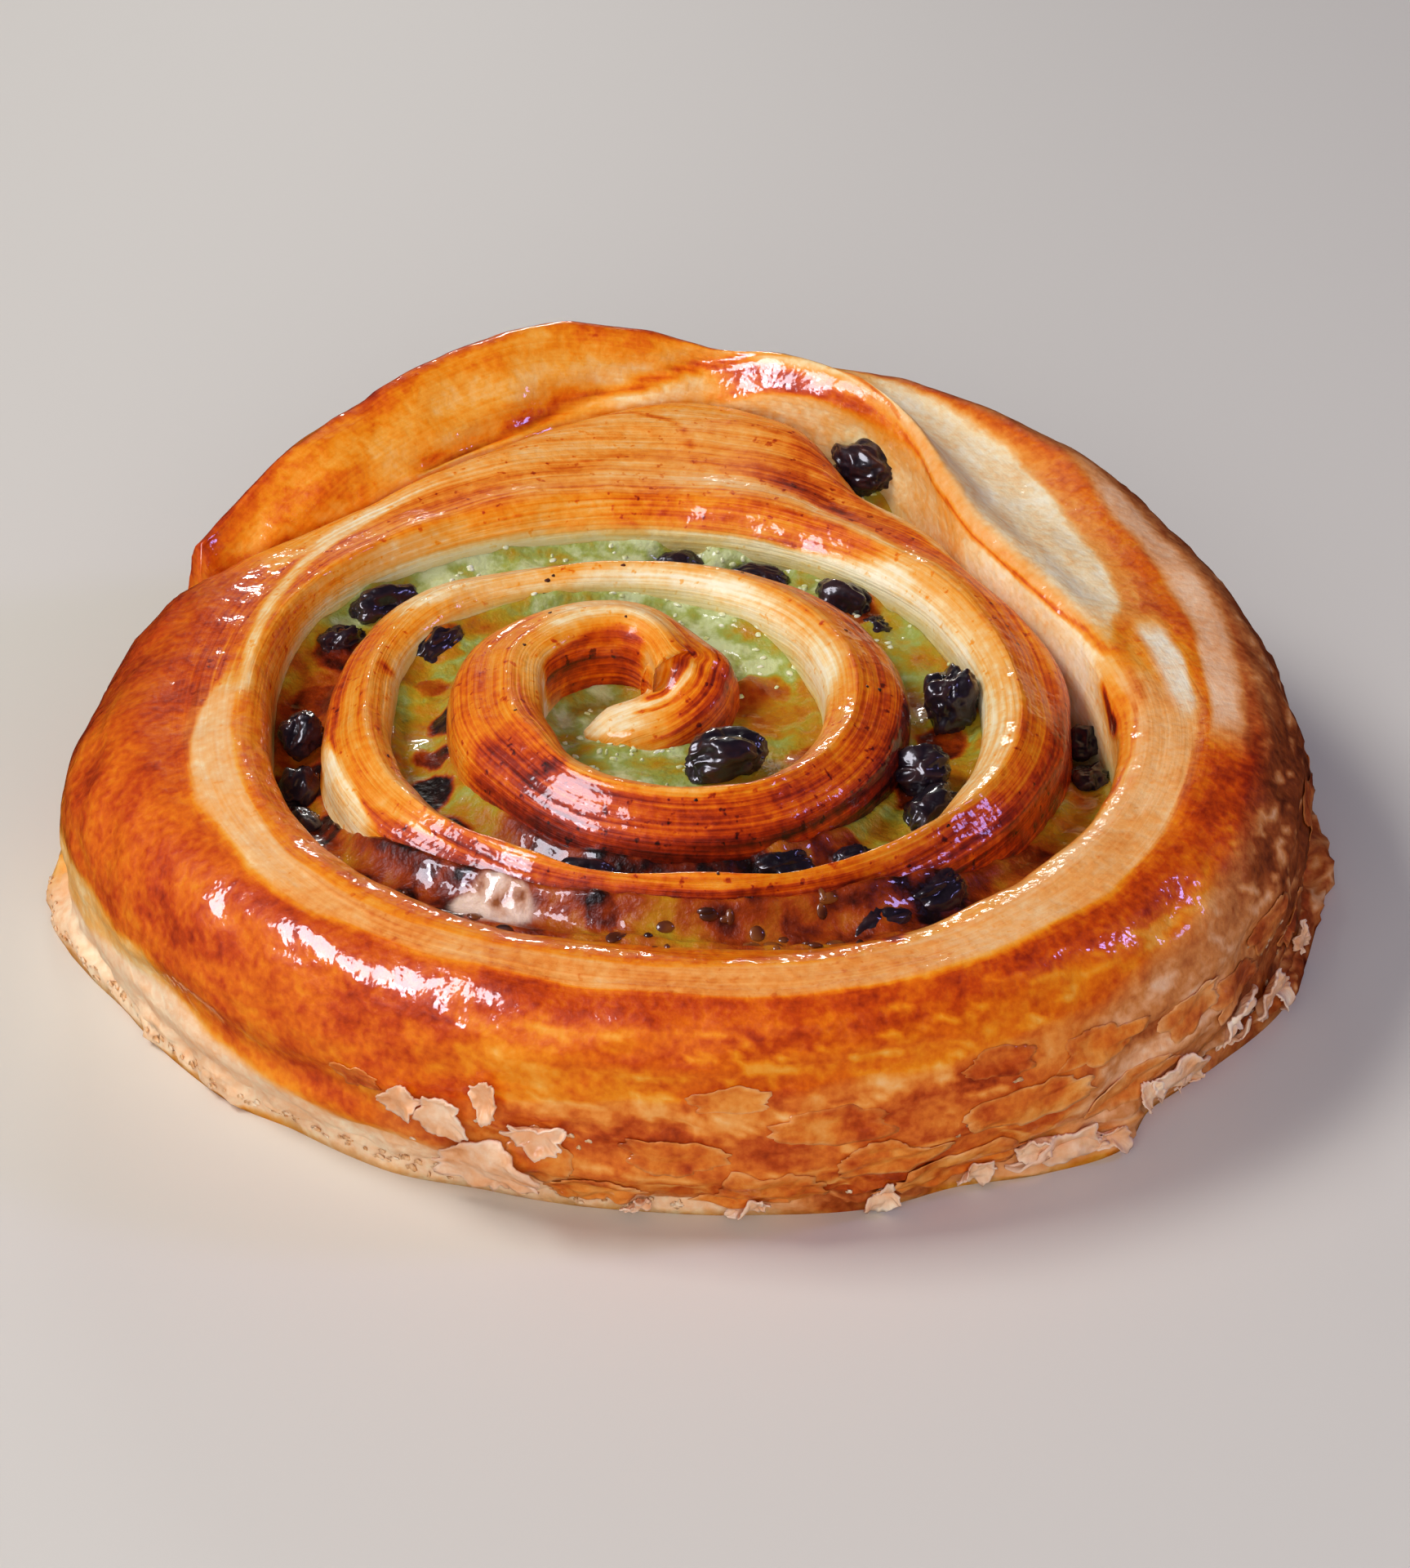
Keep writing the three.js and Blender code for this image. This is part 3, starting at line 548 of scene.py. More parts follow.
def layer_edges(s, t):
    """Thin skins of crust that end in low steps: how high each lies, and where its edge is."""
    field = waves(s, t, SKIN_EDGES) + waves(s, t, SKIN_FRAY)
    part = field - np.floor(field)
    return np.floor(field) + smooth(0.80, 1.0, part), hump(0.90, 0.12, part)


def crust_relief(angles, run, u, section, across):
    """How far the crust stands out from its smooth form, and where its skins end."""
    s, t = run[:, None] + 0 * u, across
    turn = angles[:, None] + 0 * u
    outside = smooth(*WALL_SETS_IN, turn)
    wall = smooth(*WALL_BEGINS, u) * outside
    top = window(TOP_BEGINS, TOP_ENDS, u)
    rough = smooth(*ROUGH_SETS_IN, turn) * (1 - 0.5 * smooth(*ROUGH_EASES, turn))
    crumple = CRUMPLE_HEIGHT * (1 - 2 * np.abs(waves(s, t, CRUMPLE)))
    scuffs = waves(s + 1.26 * t, t, SCUFFS)
    pleats = waves(s + 0.3 * t, t, PLEATS)
    level, edge = layer_edges(s, t)
    lip = smooth(*LIP_BEGINS, u) * outside
    crumbs = lip * (waves(s, t, LIP_CRUMBS) + waves(s, t, LIP_LAYERS))
    wander = 0.5 * noise(s / 9, 0 * s, 0 * s, 57)
    groove = GROOVE_DEPTH * hump(GROOVE_CORNER, 0.7, u - wander)
    groove = groove * window(GROOVE_SETS_IN, GROOVE_ENDS, turn)
    flap = smooth(*FLAP_SETS_IN, turn) * (1 - smooth(6.0, 7.5, u))
    folds = 1.2 * fractal(s / 12 + t / 11, t / 3.4 - s / 26, 0 * s + 1.1, 63, 3)
    crease = CREASE_DEPTH * line_mask(turn, u, 0.15, FLAP_CREASE)
    lift = flap * (folds - crease)
    lift = lift + top * (waves(s, t, STREAKS) + waves(s, t, LINES) + waves(s, t, RIPPLE))
    lift = lift + (0.25 + 0.75 * top) * (1 - wall) * waves(s, t, SWELL)
    lift = lift + wall * (crumple * (0.25 + 0.8 * rough) + waves(s, t, DIMPLE) + scuffs)
    lift = lift + wall * rough * smooth(10.0, 11.5, u) * (SKIN_STEP * level + pleats)
    lift = lift + crumbs - groove
    on_table = smooth(0.1, 1.2, section[..., 1])
    return lift * on_table, edge * wall * rough


# Browning of the crust on a scale from 0, bare dough, to 1, the darkest glaze. Each patch is
# a level, a strength, the softness of its edges, and (angle, low corner, high corner) along
# the strip.
COIL_PATCHES = [
    (0.19, 0.9, 0.6, [(62, 5.9, 8.0), (72, 5.8, 9.0), (95, 5.6, 9.6), (112, 5.5, 9.8),
        (128, 5.7, 8.0)]),
    (0.76, 0.9, 0.8, [(74, 2.0, 4.8), (95, 1.6, 5.0), (126, 1.8, 4.6), (150, 3.0, 4.4)]),
    (0.50, 0.8, 1.0, [(118, 6.2, 11.0), (150, 6.0, 11.5), (215, 6.0, 12.0)]),
    (0.75, 0.8, 0.6, [(225, 7.3, 8.4), (262, 7.0, 8.4), (300, 7.0, 8.4)]),
    (0.75, 0.8, 0.5, [(215, 8.9, 9.8), (240, 8.8, 9.8), (262, 8.8, 9.7), (300, 8.9, 9.8)]),
    (0.84, 0.85, 1.0, [(222, 10.6, 13.0), (250, 10.1, 13.0), (300, 10.2, 13.0)]),
    (0.40, 0.9, 0.6, [(252, 5.2, 6.6), (270, 5.2, 7.1), (290, 5.0, 6.9), (304, 5.0, 6.0)]),
    (0.50, 0.8, 0.6, [(304, 4.8, 7.0), (330, 4.8, 7.2), (358, 4.6, 6.9)]),
    (0.66, 0.8, 0.8, [(300, 7.2, 10.0), (330, 7.3, 10.6), (356, 7.2, 10.4)]),
    (0.90, 0.8, 1.0, [(296, 10.3, 12.5), (330, 10.0, 12.5), (352, 9.6, 13.0), (368, 10.5, 13.0)]),
    (0.08, 0.95, 0.9, [(364, 0.5, 5.2), (378, 0.5, 5.6), (400, 0.5, 5.4), (430, 0.5, 5.9),
        (462, 0.5, 6.2)]),
    (0.55, 0.7, 0.8, [(366, 6.6, 9.6), (390, 6.4, 10.0), (424, 6.6, 9.4)]),
    (0.36, 0.8, 0.6, [(426, 5.5, 8.0), (450, 5.6, 8.0), (472, 5.4, 8.0)]),
    (0.16, 0.9, 0.5, [(466, 4.7, 10.5), (476, 4.8, 10.4), (490, 5.4, 10.0), (503, 6.4, 9.6)]),
    (0.39, 0.8, 0.9, [(520, 5.4, 8.6), (560, 5.4, 9.4), (590, 5.2, 8.6)]),
    (0.04, 0.9, 0.5, [(547, 9.9, 12.4), (556, 9.4, 12.8), (566, 9.5, 12.4), (578, 10.2, 11.8)]),
    (0.76, 0.85, 0.7, [(600, 8.7, 13.0), (622, 8.3, 13.0), (650, 7.9, 13.0), (680, 8.1, 13.0),
        (700, 8.3, 13.0), (726, 8.6, 12.0)]),
    (0.46, 0.7, 0.6, [(600, 5.0, 7.2), (650, 5.4, 7.4), (690, 5.0, 7.0), (706, 4.8, 6.6)]),
    (0.20, 0.9, 0.8, [(692, 4.4, 5.8), (715, 3.8, 6.0), (745, 3.8, 5.8), (762, 4.2, 5.9)]),
    (0.03, 0.95, 0.7, [(716, 0.5, 4.6), (740, 0.5, 5.0), (755, 0.5, 5.2), (766, 0.5, 5.7),
        (778, 0.5, 4.9), (800, 0.5, 4.5), (850, 0.5, 4.2)]),
    (0.60, 0.8, 0.9, [(724, 6.4, 10.0), (745, 6.8, 10.4), (760, 6.8, 8.8), (776, 6.9, 8.6)]),
    (0.10, 0.85, 0.5, [(754, 9.2, 11.0), (764, 9.0, 11.0), (776, 9.3, 11.0), (782, 9.7, 11.0)]),
    (0.56, 0.85, 0.4, [(768, 5.1, 5.9), (785, 4.8, 6.3), (800, 4.8, 6.3), (812, 5.0, 6.0)]),
    (0.30, 0.9, 0.25, [(766, 5.8, 6.3), (780, 6.3, 6.85), (795, 6.5, 7.2), (814, 6.6, 7.3)]),
    (0.82, 0.8, 0.6, [(776, 7.1, 7.8), (783, 7.0, 8.0), (790, 7.1, 7.7)]),
    (0.66, 0.8, 0.5, [(785, 7.8, 10.0), (788, 7.6, 10.4), (791, 7.9, 9.6)]),
    (0.35, 0.85, 0.6, [(792, 7.7, 12.0), (805, 7.7, 12.0), (825, 7.8, 12.0), (850, 9.0, 12.0),
        (862, 9.2, 10.5)]),
    (0.50, 0.85, 0.6, [(832, 5.9, 8.6), (842, 5.4, 8.4), (854, 4.6, 7.5), (866, 4.0, 6.7),
        (880, 3.4, 5.6), (892, 3.2, 4.8)]),
    (0.26, 0.7, 0.4, [(835, 5.0, 5.9), (846, 4.7, 5.6), (858, 4.0, 4.9), (870, 3.0, 4.0)]),
    (0.17, 0.95, 0.4, [(838, 8.5, 10.0), (848, 8.2, 9.6), (858, 7.6, 8.6), (866, 7.0, 8.0),
        (876, 6.2, 7.1), (886, 5.9, 6.7), (893, 6.0, 6.6)]),
]
WALL_PATCHES = [
    # Deep brown low on the left wall: the crust's browning, darkened further as painted shadow
    # under the flap's end
    (0.70, 0.8, 0.9, [(862, 10.4, 13.0), (872, 10.2, 13.0), (886, 10.4, 13.0), (896, 11.2, 13.5)]),
    (0.66, 0.75, 0.8, [(866, 8.2, 10.0), (880, 7.0, 10.0), (895, 7.2, 9.8), (912, 9.0, 10.5)]),
    (0.25, 0.9, 0.4, [(888, 6.3, 7.6), (899, 6.6, 8.3), (910, 6.4, 9.0), (930, 6.9, 9.2),
        (948, 6.9, 9.15)]),
    (0.43, 0.9, 0.4, [(940, 6.9, 9.2), (950, 6.9, 9.15), (980, 6.7, 9.0), (1000, 6.5, 8.8),
        (1012, 6.0, 8.8), (1028, 6.0, 9.1)]),
    (0.55, 0.8, 0.5, [(895, 4.4, 6.1), (920, 4.7, 6.4), (955, 4.8, 6.3), (1000, 4.8, 6.2),
        (1026, 4.8, 5.9)]),
    (0.31, 0.9, 0.4, [(1026, 5.4, 9.2), (1050, 5.2, 9.1), (1075, 5.2, 8.2), (1092, 5.8, 8.3)]),
    (0.92, 0.8, 0.25, [(1025.4, 4.6, 5.6), (1026.8, 4.6, 5.9), (1028.2, 4.6, 5.4)]),
    (0.68, 0.85, 0.4, [(936, 9.3, 10.0), (970, 9.3, 10.2), (998, 9.0, 10.2), (1012, 9.0, 9.9),
        (1040, 9.3, 10.3), (1078, 9.3, 10.0)]),
    (0.20, 0.9, 0.5, [(885, 13.8, 17.0), (898, 12.9, 17.0), (912, 12.6, 17.0), (926, 13.0, 15.0)]),
    (0.17, 0.9, 0.5, [(898, 14.6, 17.0), (912, 13.8, 17.0), (926, 13.5, 17.0), (940, 13.9, 17.0),
        (962, 14.4, 17.0), (985, 14.8, 17.0), (1002, 15.4, 17.0)]),
    (0.67, 0.7, 0.8, [(985, 12.8, 14.8), (1000, 13.0, 15.0), (1012, 13.2, 15.0)]),
    (0.56, 0.6, 0.6, [(1000, 10.6, 11.6), (1012, 10.5, 11.6), (1026, 10.6, 11.4)]),
    (0.66, 0.7, 0.6, [(1012, 12.0, 13.8), (1028, 12.2, 14.2), (1040, 12.4, 14.0)]),
    (0.80, 0.7, 0.6, [(1012, 14.1, 17.0), (1020, 13.8, 17.0), (1028, 14.2, 17.0)]),
    (0.50, 0.6, 1.0, [(1034, 10.4, 12.0), (1048, 10.3, 12.4), (1062, 10.3, 12.0)]),
    # Dark brown on the far right wall: partly its browner crust, partly painted shade
    (0.74, 0.8, 1.0, [(1061, 9.9, 12.0), (1070, 9.8, 14.0), (1085, 9.4, 15.0), (1120, 9.6, 15.0)]),
    (0.46, 0.6, 0.8, [(1052, 11.6, 13.0), (1060, 11.4, 13.4), (1067, 11.6, 13.0)]),
    (0.48, 0.6, 0.8, [(1030, 14.2, 17.0), (1046, 13.8, 17.0), (1056, 14.4, 17.0)]),
    # Dark brown low on the far right wall: partly its browner crust, partly painted shade
    (0.74, 0.8, 0.8, [(1058, 13.6, 17.0), (1068, 12.6, 17.0), (1080, 12.0, 15.5),
        (1092, 12.0, 14.0)]),
    (0.28, 0.85, 0.3, [(1078, 8.8, 9.6), (1092, 8.8, 9.7), (1108, 8.9, 9.7), (1124, 9.0, 9.5)]),
    (0.56, 0.7, 0.4, [(1078, 8.2, 8.8), (1100, 8.2, 8.9), (1132, 8.4, 9.0)]),
    (0.60, 0.6, 0.5, [(1084, 9.7, 10.4), (1110, 9.7, 10.4), (1140, 9.4, 10.2)]),
    (0.03, 0.9, 0.3, [(1082, 7.3, 7.9), (1090, 7.2, 8.1), (1098, 7.4, 8.0)]),
    # Bare pale dough on the broad hump, paled further as painted light where the dish lies in shade
    (0.09, 0.95, 0.5, [(1096, 5.9, 6.9), (1104, 5.9, 7.9), (1120, 5.9, 8.1), (1136, 6.2, 8.4),
        (1150, 6.6, 8.8)]),
    (0.26, 0.8, 0.4, [(1098, 5.2, 6.1), (1115, 5.0, 6.1), (1142, 5.0, 6.2)]),
    (0.05, 0.9, 0.4, [(1089, 0.5, 5.8), (1096, 0.5, 5.1), (1110, 0.5, 4.7), (1124, 0.5, 4.6)]),
    (0.22, 0.8, 0.6, [(1122, 0.5, 4.6), (1132, 0.5, 4.4), (1140, 0.5, 3.8)]),
    (0.13, 0.9, 0.4, [(1138, 5.3, 6.2), (1150, 5.7, 6.4), (1162, 5.2, 6.0), (1172, 4.9, 5.5)]),
    (0.70, 0.85, 0.6, [(1143, 3.6, 4.6), (1150, 3.9, 5.2), (1157, 4.8, 5.9), (1161, 5.4, 5.8)]),
    (0.16, 0.8, 0.5, [(1146, 1.0, 3.8), (1158, 2.0, 4.6), (1168, 3.0, 4.8)]),
    (0.22, 0.8, 0.3, [(1171, 5.45, 5.7), (1178, 5.4, 5.66), (1187, 5.35, 5.55)]),
    (0.60, 0.7, 0.3, [(1158, 5.6, 5.95), (1166, 5.55, 5.9)]),
    (0.16, 0.9, 0.4, [(1209, 5.9, 6.3), (1214, 5.5, 6.2), (1219, 5.45, 6.1)]),
    (0.62, 0.8, 0.3, [(1188, 6.05, 6.5), (1205, 6.1, 6.6), (1216, 6.25, 6.8)]),
    (0.66, 0.7, 0.5, [(1206, 3.5, 5.0), (1214, 3.0, 5.2), (1224, 2.0, 5.4)]),
    (0.70, 0.8, 0.4, [(1206, 6.0, 10.0), (1214, 5.6, 11.0), (1224, 5.2, 12.0)]),
]
# Narrow browned lines: level, half width in corners, and (angle, corner) points
BROWN_LINES = [
    (0.95, 0.7, [(244, 8.6), (247, 7.4), (250, 6.7), (252, 6.2)]),
    (0.52, 0.30, [(1083, 6.1), (1093, 6.4), (1100, 7.3), (1108, 7.9), (1130, 8.4)]),
    (0.60, 0.20, [(1091, 6.0), (1100, 5.25), (1110, 4.9), (1125, 4.8), (1138, 4.5)]),
    (0.62, 0.16, [(801, 7.2), (804, 8.4), (808, 9.6), (813, 10.6)]),
    (0.58, 0.14, [(1046, 4.9), (1064, 5.0), (1082, 5.7)]),
    (0.60, 0.20, [(1140, 5.4), (1150, 6.4), (1160, 6.35), (1176, 6.3), (1200, 6.3), (1214, 6.2)]),
    (0.62, 0.28, [(918, 12.7), (930, 12.4), (944, 13.0), (960, 13.9), (984, 14.2)]),
    # Along the flap's fold: a brown line that is partly painted shade in the crease
    (0.66, 0.12, FLAP_CREASE),
    (0.78, 0.5, [(-70, 6.2), (-40, 6.5), (-5, 6.6), (25, 6.8), (48, 7.0)]),
    (0.18, 0.30, [(-100, 6.9), (-60, 7.0), (-20, 7.2), (15, 7.5)]),
    (0.64, 0.28, [(-80, 7.7), (-40, 7.9), (0, 8.1), (30, 8.4)]),
    (0.95, 0.5, [(1081, 4.2), (1084, 3.8), (1087, 4.4)]),
    (0.90, 0.6, [(519.4, 5.2), (520.6, 5.2)]),
]
# Dry, unglazed and floury places, in the same form
DULL_PATCHES = [
    (0.7, 1.0, 0.5, [(890, 14.6, 17.0), (912, 13.8, 17.0), (926, 13.5, 17.0), (940, 13.9, 17.0),
        (962, 14.2, 17.0), (985, 14.6, 17.0), (1040, 15.2, 17.0), (1215, 15.0, 17.0)]),
    (0.92, 0.85, 1.5, [(1036, 11.5, 15.5), (1060, 10.4, 15.5), (1085, 9.6, 15.5), (1130, 8.8, 15.5),
        (1215, 9.0, 15.5)]),
    (0.62, 0.8, 0.8, [(960, 13.0, 15.5), (985, 12.0, 15.5), (1036, 11.2, 15.5),
        (1060, 11.2, 15.5)]),
    (0.45, 1.0, 0.6, [(1094, 5.2, 8.4), (1120, 5.0, 8.8), (1150, 5.0, 9.0)]),
    (0.50, 1.0, 0.5, [(888, 6.3, 9.1), (950, 6.9, 9.2), (1000, 6.5, 8.9), (1050, 5.4, 9.1),
        (1090, 5.4, 8.6)]),
    (0.70, 0.9, 0.4, [(1080, 7.0, 8.1), (1090, 7.0, 8.2), (1099, 7.2, 8.2)]),
    (0.84, 0.9, 0.5, [(1076, 8.7, 9.9), (1110, 8.8, 9.9), (1126, 8.9, 9.7)]),
    (0.42, 1.0, 0.8, [(766, 5.6, 9.4), (800, 5.8, 10.0), (860, 5.8, 9.8)]),
    (0.35, 1.0, 0.8, [(60, 4.5, 8.0), (180, 4.5, 7.0), (300, 4.5, 6.6)]),
]


def patch_mask(turn, u, soft, knots):
    """1 inside a patch of the strip and 0 outside, with soft edges."""
    knot_angles, low, high = np.array(knots).T
    low, high = np.interp(turn, knot_angles, low), np.interp(turn, knot_angles, high)
    half = soft / 2
    first, last = knot_angles[0], knot_angles[-1]
    blend = min(6.0, (last - first) / 4)
    within = window((low - half, low + half), (high - half, high + half), u)
    return within * window((first - blend, first + blend), (last - blend, last + blend), turn)


def line_mask(turn, u, width, points):
    """1 on a line along the strip and 0 away from it."""
    knot_angles, corner = np.array(points).T
    first, last = knot_angles[0], knot_angles[-1]
    off = np.abs(u - np.interp(turn, knot_angles, corner)) / width
    return (1 - smooth(0.4, 1.2, off)) * window((first - 2, first + 1), (last - 1, last + 2), turn)


# Browning across the strip where no patch lies, as (corner, level)
COIL_BACK = [
    (0, 0.05), (2, 0.08), (4, 0.22), (5, 0.36), (6, 0.44), (7, 0.50), (8, 0.55), (9, 0.58),
    (11, 0.62), (17, 0.62),
]
COIL_FRONT = [
    (0, 0.1), (2, 0.18), (4, 0.42), (5, 0.50), (6, 0.60), (7, 0.66), (8, 0.68), (9, 0.69),
    (11, 0.72), (13, 0.74), (17, 0.76),
]
HOOK_BROWNING = [
    (0, 0.5), (3.6, 0.6), (4.2, 0.5), (5.0, 0.26), (5.5, 0.32), (6.1, 0.60), (6.6, 0.52),
    (7.2, 0.36), (7.7, 0.58), (8.2, 0.46), (8.8, 0.46), (9.3, 0.72), (10, 0.72), (12, 0.7),
    (17, 0.6),
]
LAST_TURN = [
    (0, 0.05), (2, 0.1), (4, 0.4), (5, 0.46), (6, 0.48), (8, 0.55), (9, 0.60), (11, 0.61),
    (13, 0.58), (14.5, 0.46), (17, 0.38),
]
FLAP_BROWNING = [
    (0, 0.1), (3, 0.26), (4.4, 0.37), (5.0, 0.37), (5.5, 0.40), (6.1, 0.54), (8, 0.56),
    (11, 0.52), (17, 0.5),
]
# Unevenness of the browning, in the form of the crust's waves
WANDER_ACROSS = (0.22, 7, 5, 8.0, 61, 3)
WANDER_ALONG = (1.5, 6, 6, 2.0, 67, 1)
MOTTLE = (1.0, 5.5, 4.0, 4.0, 71, 5)
BLOTCHES = (1.0, 4, 3, 0.0, 73, 4)
SHEETS = (1.0, 16, 3.2, 1.0, 79, 4)
VEINS = (1.0, 9, 3.6, 2.2, 83, 3)
# How strongly mottle and sheets colour the plain wall, the front wall and the flap, how much
# the veins pale the front wall, and how much the far right wall is darkened: partly its browner
# crust, partly painted shade on the side turned away from the lights
PLAIN_WALL, FRONT_WALL, FLAP = (0.07, 0.06), (0.09, 0.26), (0.12, 0.16)
VEIN_PALENESS = 0.17
RIGHT_BROWNING_AND_SHADE = 0.16
LINE_STRENGTH = 0.85


def plain_browning(turn, u):
    """Browning of each part of the strip before its unevenness and its patches."""
    def level(knots):
        return np.interp(u, *np.array(knots).T)

    front = smooth(-0.45, 0.9, -np.sin(np.radians(turn)))
    coil = mix(level(COIL_BACK), level(COIL_FRONT), front)
    hook = mix(0.16 + 0.25 * smooth(9.0, 10.5, u), level(HOOK_BROWNING), smooth(-100, -15, turn))
    bake = mix(hook, coil, smooth(15, 75, turn))
    bake = mix(bake, level(LAST_TURN), smooth(840, 900, turn))
    return mix(bake, level(FLAP_BROWNING), smooth(1148, 1166, turn))


def bake_of(run, turn, u, across):
    """Browning of the crust, from 0 for bare dough to 1 for the darkest glaze, and how dry
    and floury its surface is."""
    s, t = run[:, None] + 0 * u, across
    mottle = waves(s, t, MOTTLE) + 0.35 * (2 * smooth(-0.06, 0.06, waves(s, t, BLOTCHES)) - 1)
    sheets = waves(s, t, SHEETS)
    veins = 1 - smooth(0.0, 0.06, np.abs(waves(s, t, VEINS)))
    wall = smooth(9.4, 10.6, u) * smooth(860, 890, turn)
    front = smooth(955, 990, turn)
    # The far right wall, darkened partly as painted shade
    right = window((1048, 1080), (1115, 1140), turn) * smooth(9.5, 11, u)
    on_plain, on_front, on_flap = (strong * mottle + sheeted * sheets
                                   for strong, sheeted in (PLAIN_WALL, FRONT_WALL, FLAP))
    bake = plain_browning(turn, u) + wall * mix(on_plain, on_front, front)
    bake = bake - VEIN_PALENESS * veins * wall * front * smooth(9.8, 11.2, u)
    bake = bake + on_flap * smooth(1158, 1175, turn) + RIGHT_BROWNING_AND_SHADE * right
    u, turn = u + waves(s, t, WANDER_ACROSS), turn + waves(s, t, WANDER_ALONG)
    for level, strength, soft, knots in COIL_PATCHES + WALL_PATCHES:
        bake = mix(bake, level, strength * patch_mask(turn, u, soft, knots))
    for level, width, points in BROWN_LINES:
        bake = mix(bake, level, LINE_STRENGTH * line_mask(turn, u, width, points))
    dull = 0 * u
    for level, strength, soft, knots in DULL_PATCHES:
        dull = np.maximum(dull, level * strength * patch_mask(turn, u, soft, knots))
    return bake, dull


def cream_level(angle):
    return along(CREAM_HEIGHT, angle)


def coil_share(turn, u):
    """How much the crust has the fine streaks of the coil, from 1 on it to 0 on the wall."""
    coil = 1 - smooth(845, 880, turn) * smooth(8.5, 10.0, u)
    coil = coil * (1 - 0.55 * smooth(880, 900, turn)) * (1 - 0.4 * smooth(1150, 1165, turn))
    # Fewer dark streaks on the broad hump: partly its smooth pale dough, partly painted light where
    # the dish lies in shade
    return coil * (1 - 0.6 * window((1088, 1100), (1148, 1158), turn))


def custard_share(turn, u, section):
    """How much custard clings to the inner side of the strip just above the cream."""
    above = section[..., 1] - cream_level(turn)
    return (1 - smooth(0.2, 3.6, above)) * (1 - smooth(4.2, 5.4, u)) * (turn > 130)


def make_dough(material):
    """The whole strip in one closed skin, and its surface for what lies on it."""
    angles, run, u, section, points, across = strip_grid()
    lift, edge = crust_relief(angles, run, u, section, across)
    points = points + grid_normals(points) * lift[..., None]
    points[..., 2] = np.maximum(points[..., 2], 0.0)
    turn = angles[:, None] + 0 * u
    bake, dull = bake_of(run, turn, u, across)
    bake = mix(bake, 0.2, 0.6 * edge)
    ends = [points[0].mean(axis=0), points[-1].mean(axis=0)]
    vertices = np.concatenate([points.reshape(-1, 3), ends])
    strip = np.stack([run[:, None] + 0 * u, across, turn], axis=-1)
    strip = np.concatenate([strip.reshape(-1, 3), strip[0, :1], strip[-1, :1]])
    attributes = {
        "bake": np.append(bake, [0.2, 0.4]), "strip": strip * [MM, MM, 1.0],
        "custard": np.append(custard_share(turn, u, section), [0, 0]),
        "coil": np.append(coil_share(turn, u), [1, 0]), "dull": np.append(dull, [0, 0.5]),
    }
    piece = mesh_piece("dough_spiral", vertices, tube_faces(*u.shape), material, attributes)
    return piece, (angles, u, points, grid_normals(points))


# Flakes and skins of crust that lie on the wall

# Forms of sheets: lift off the wall, thickness, curl of the edges and raggedness, in mm but
# for the last
FLAKE_FORM = (0.8, 0.4, 0.6, 0.5)
SHRED_FORM = (0.5, 0.3, 0.6, 0.6)
SKIN_FORM = (0.10, 0.14, 0.16, 0.45)
# Loose flakes, the same as the solid's: compass angle, height, width, depth
FLAKES = [
    (246, 12.0, 4.6, 3.4), (251, 11.4, 5.0, 4.4), (256, 14.6, 3.2, 4.8), (262, 11.0, 6.4, 4.0),
    (255, 6.4, 13.0, 6.4), (319, 3.4, 9.0, 4.4), (331, 5.8, 7.0, 4.4), (338, 8.0, 6.0, 4.0),
    (345, 5.8, 7.0, 4.4),
]
# Small shreds along the ragged foot of the wall, in the same form
SHREDS = [
    (273, 2.6, 3.4, 3.0), (286, 2.2, 4.2, 2.6), (300, 2.4, 3.6, 3.0), (310, 2.6, 4.6, 3.4),
    (315, 4.6, 3.4, 3.0), (323, 2.6, 4.0, 3.6), (327, 5.4, 3.0, 3.4), (335, 3.0, 4.4, 3.8),
    (341, 4.2, 3.6, 3.6), (349, 3.2, 4.4, 3.4), (355, 5.0, 3.4, 3.6),
]
# Thin skins that have lifted from the wall: compass angle, height, width, depth, browning
# and dryness
SKINS = [
    (262, 8.4, 8.0, 6.0, 0.49, 0.48), (268, 4.4, 10.0, 5.0, 0.55, 0.48),
    (277, 9.6, 11.0, 4.6, 0.61, 0.48), (283, 16.0, 8.0, 3.0, 0.49, 0.48),
    (287, 5.2, 13.0, 6.0, 0.55, 0.48), (293, 12.8, 12.0, 4.0, 0.59, 0.48),
    (299, 8.4, 11.0, 5.0, 0.53, 0.48), (306, 4.6, 12.0, 6.0, 0.55, 0.48),
    (309, 16.4, 9.0, 3.6, 0.65, 0.48), (313, 11.0, 13.0, 5.0, 0.53, 0.48),
    (320, 14.6, 10.0, 4.6, 0.57, 0.48), (325, 7.4, 11.0, 5.0, 0.51, 0.56),
    (332, 13.0, 9.0, 5.0, 0.49, 0.56), (338, 11.0, 9.0, 5.0, 0.63, 0.64),
    (345, 14.0, 9.0, 5.0, 0.61, 0.64), (352, 9.0, 9.0, 6.0, 0.67, 0.64),
    (2, 14.5, 11.0, 6.0, 0.69, 0.64), (12, 11.0, 10.0, 7.0, 0.71, 0.64),
    (26, 15.0, 11.0, 6.0, 0.67, 0.64), (239, 12.4, 6.0, 3.4, 0.57, 0.48),
]
SHEET_AROUND = 110
SHEET_RINGS = 9
SHEET_CORE = 0.08
# Broken outlines: their sides, how unevenly these face out, and how near and far they lie
SHARD_SIDES = 7
SHARD_SWAY = 0.3
SHARD_NEAR, SHARD_FAR = 0.66, 1.04
# Corners at the top and the foot of the free wall
WALL_TOP, WALL_FOOT = 8.5, 16.6


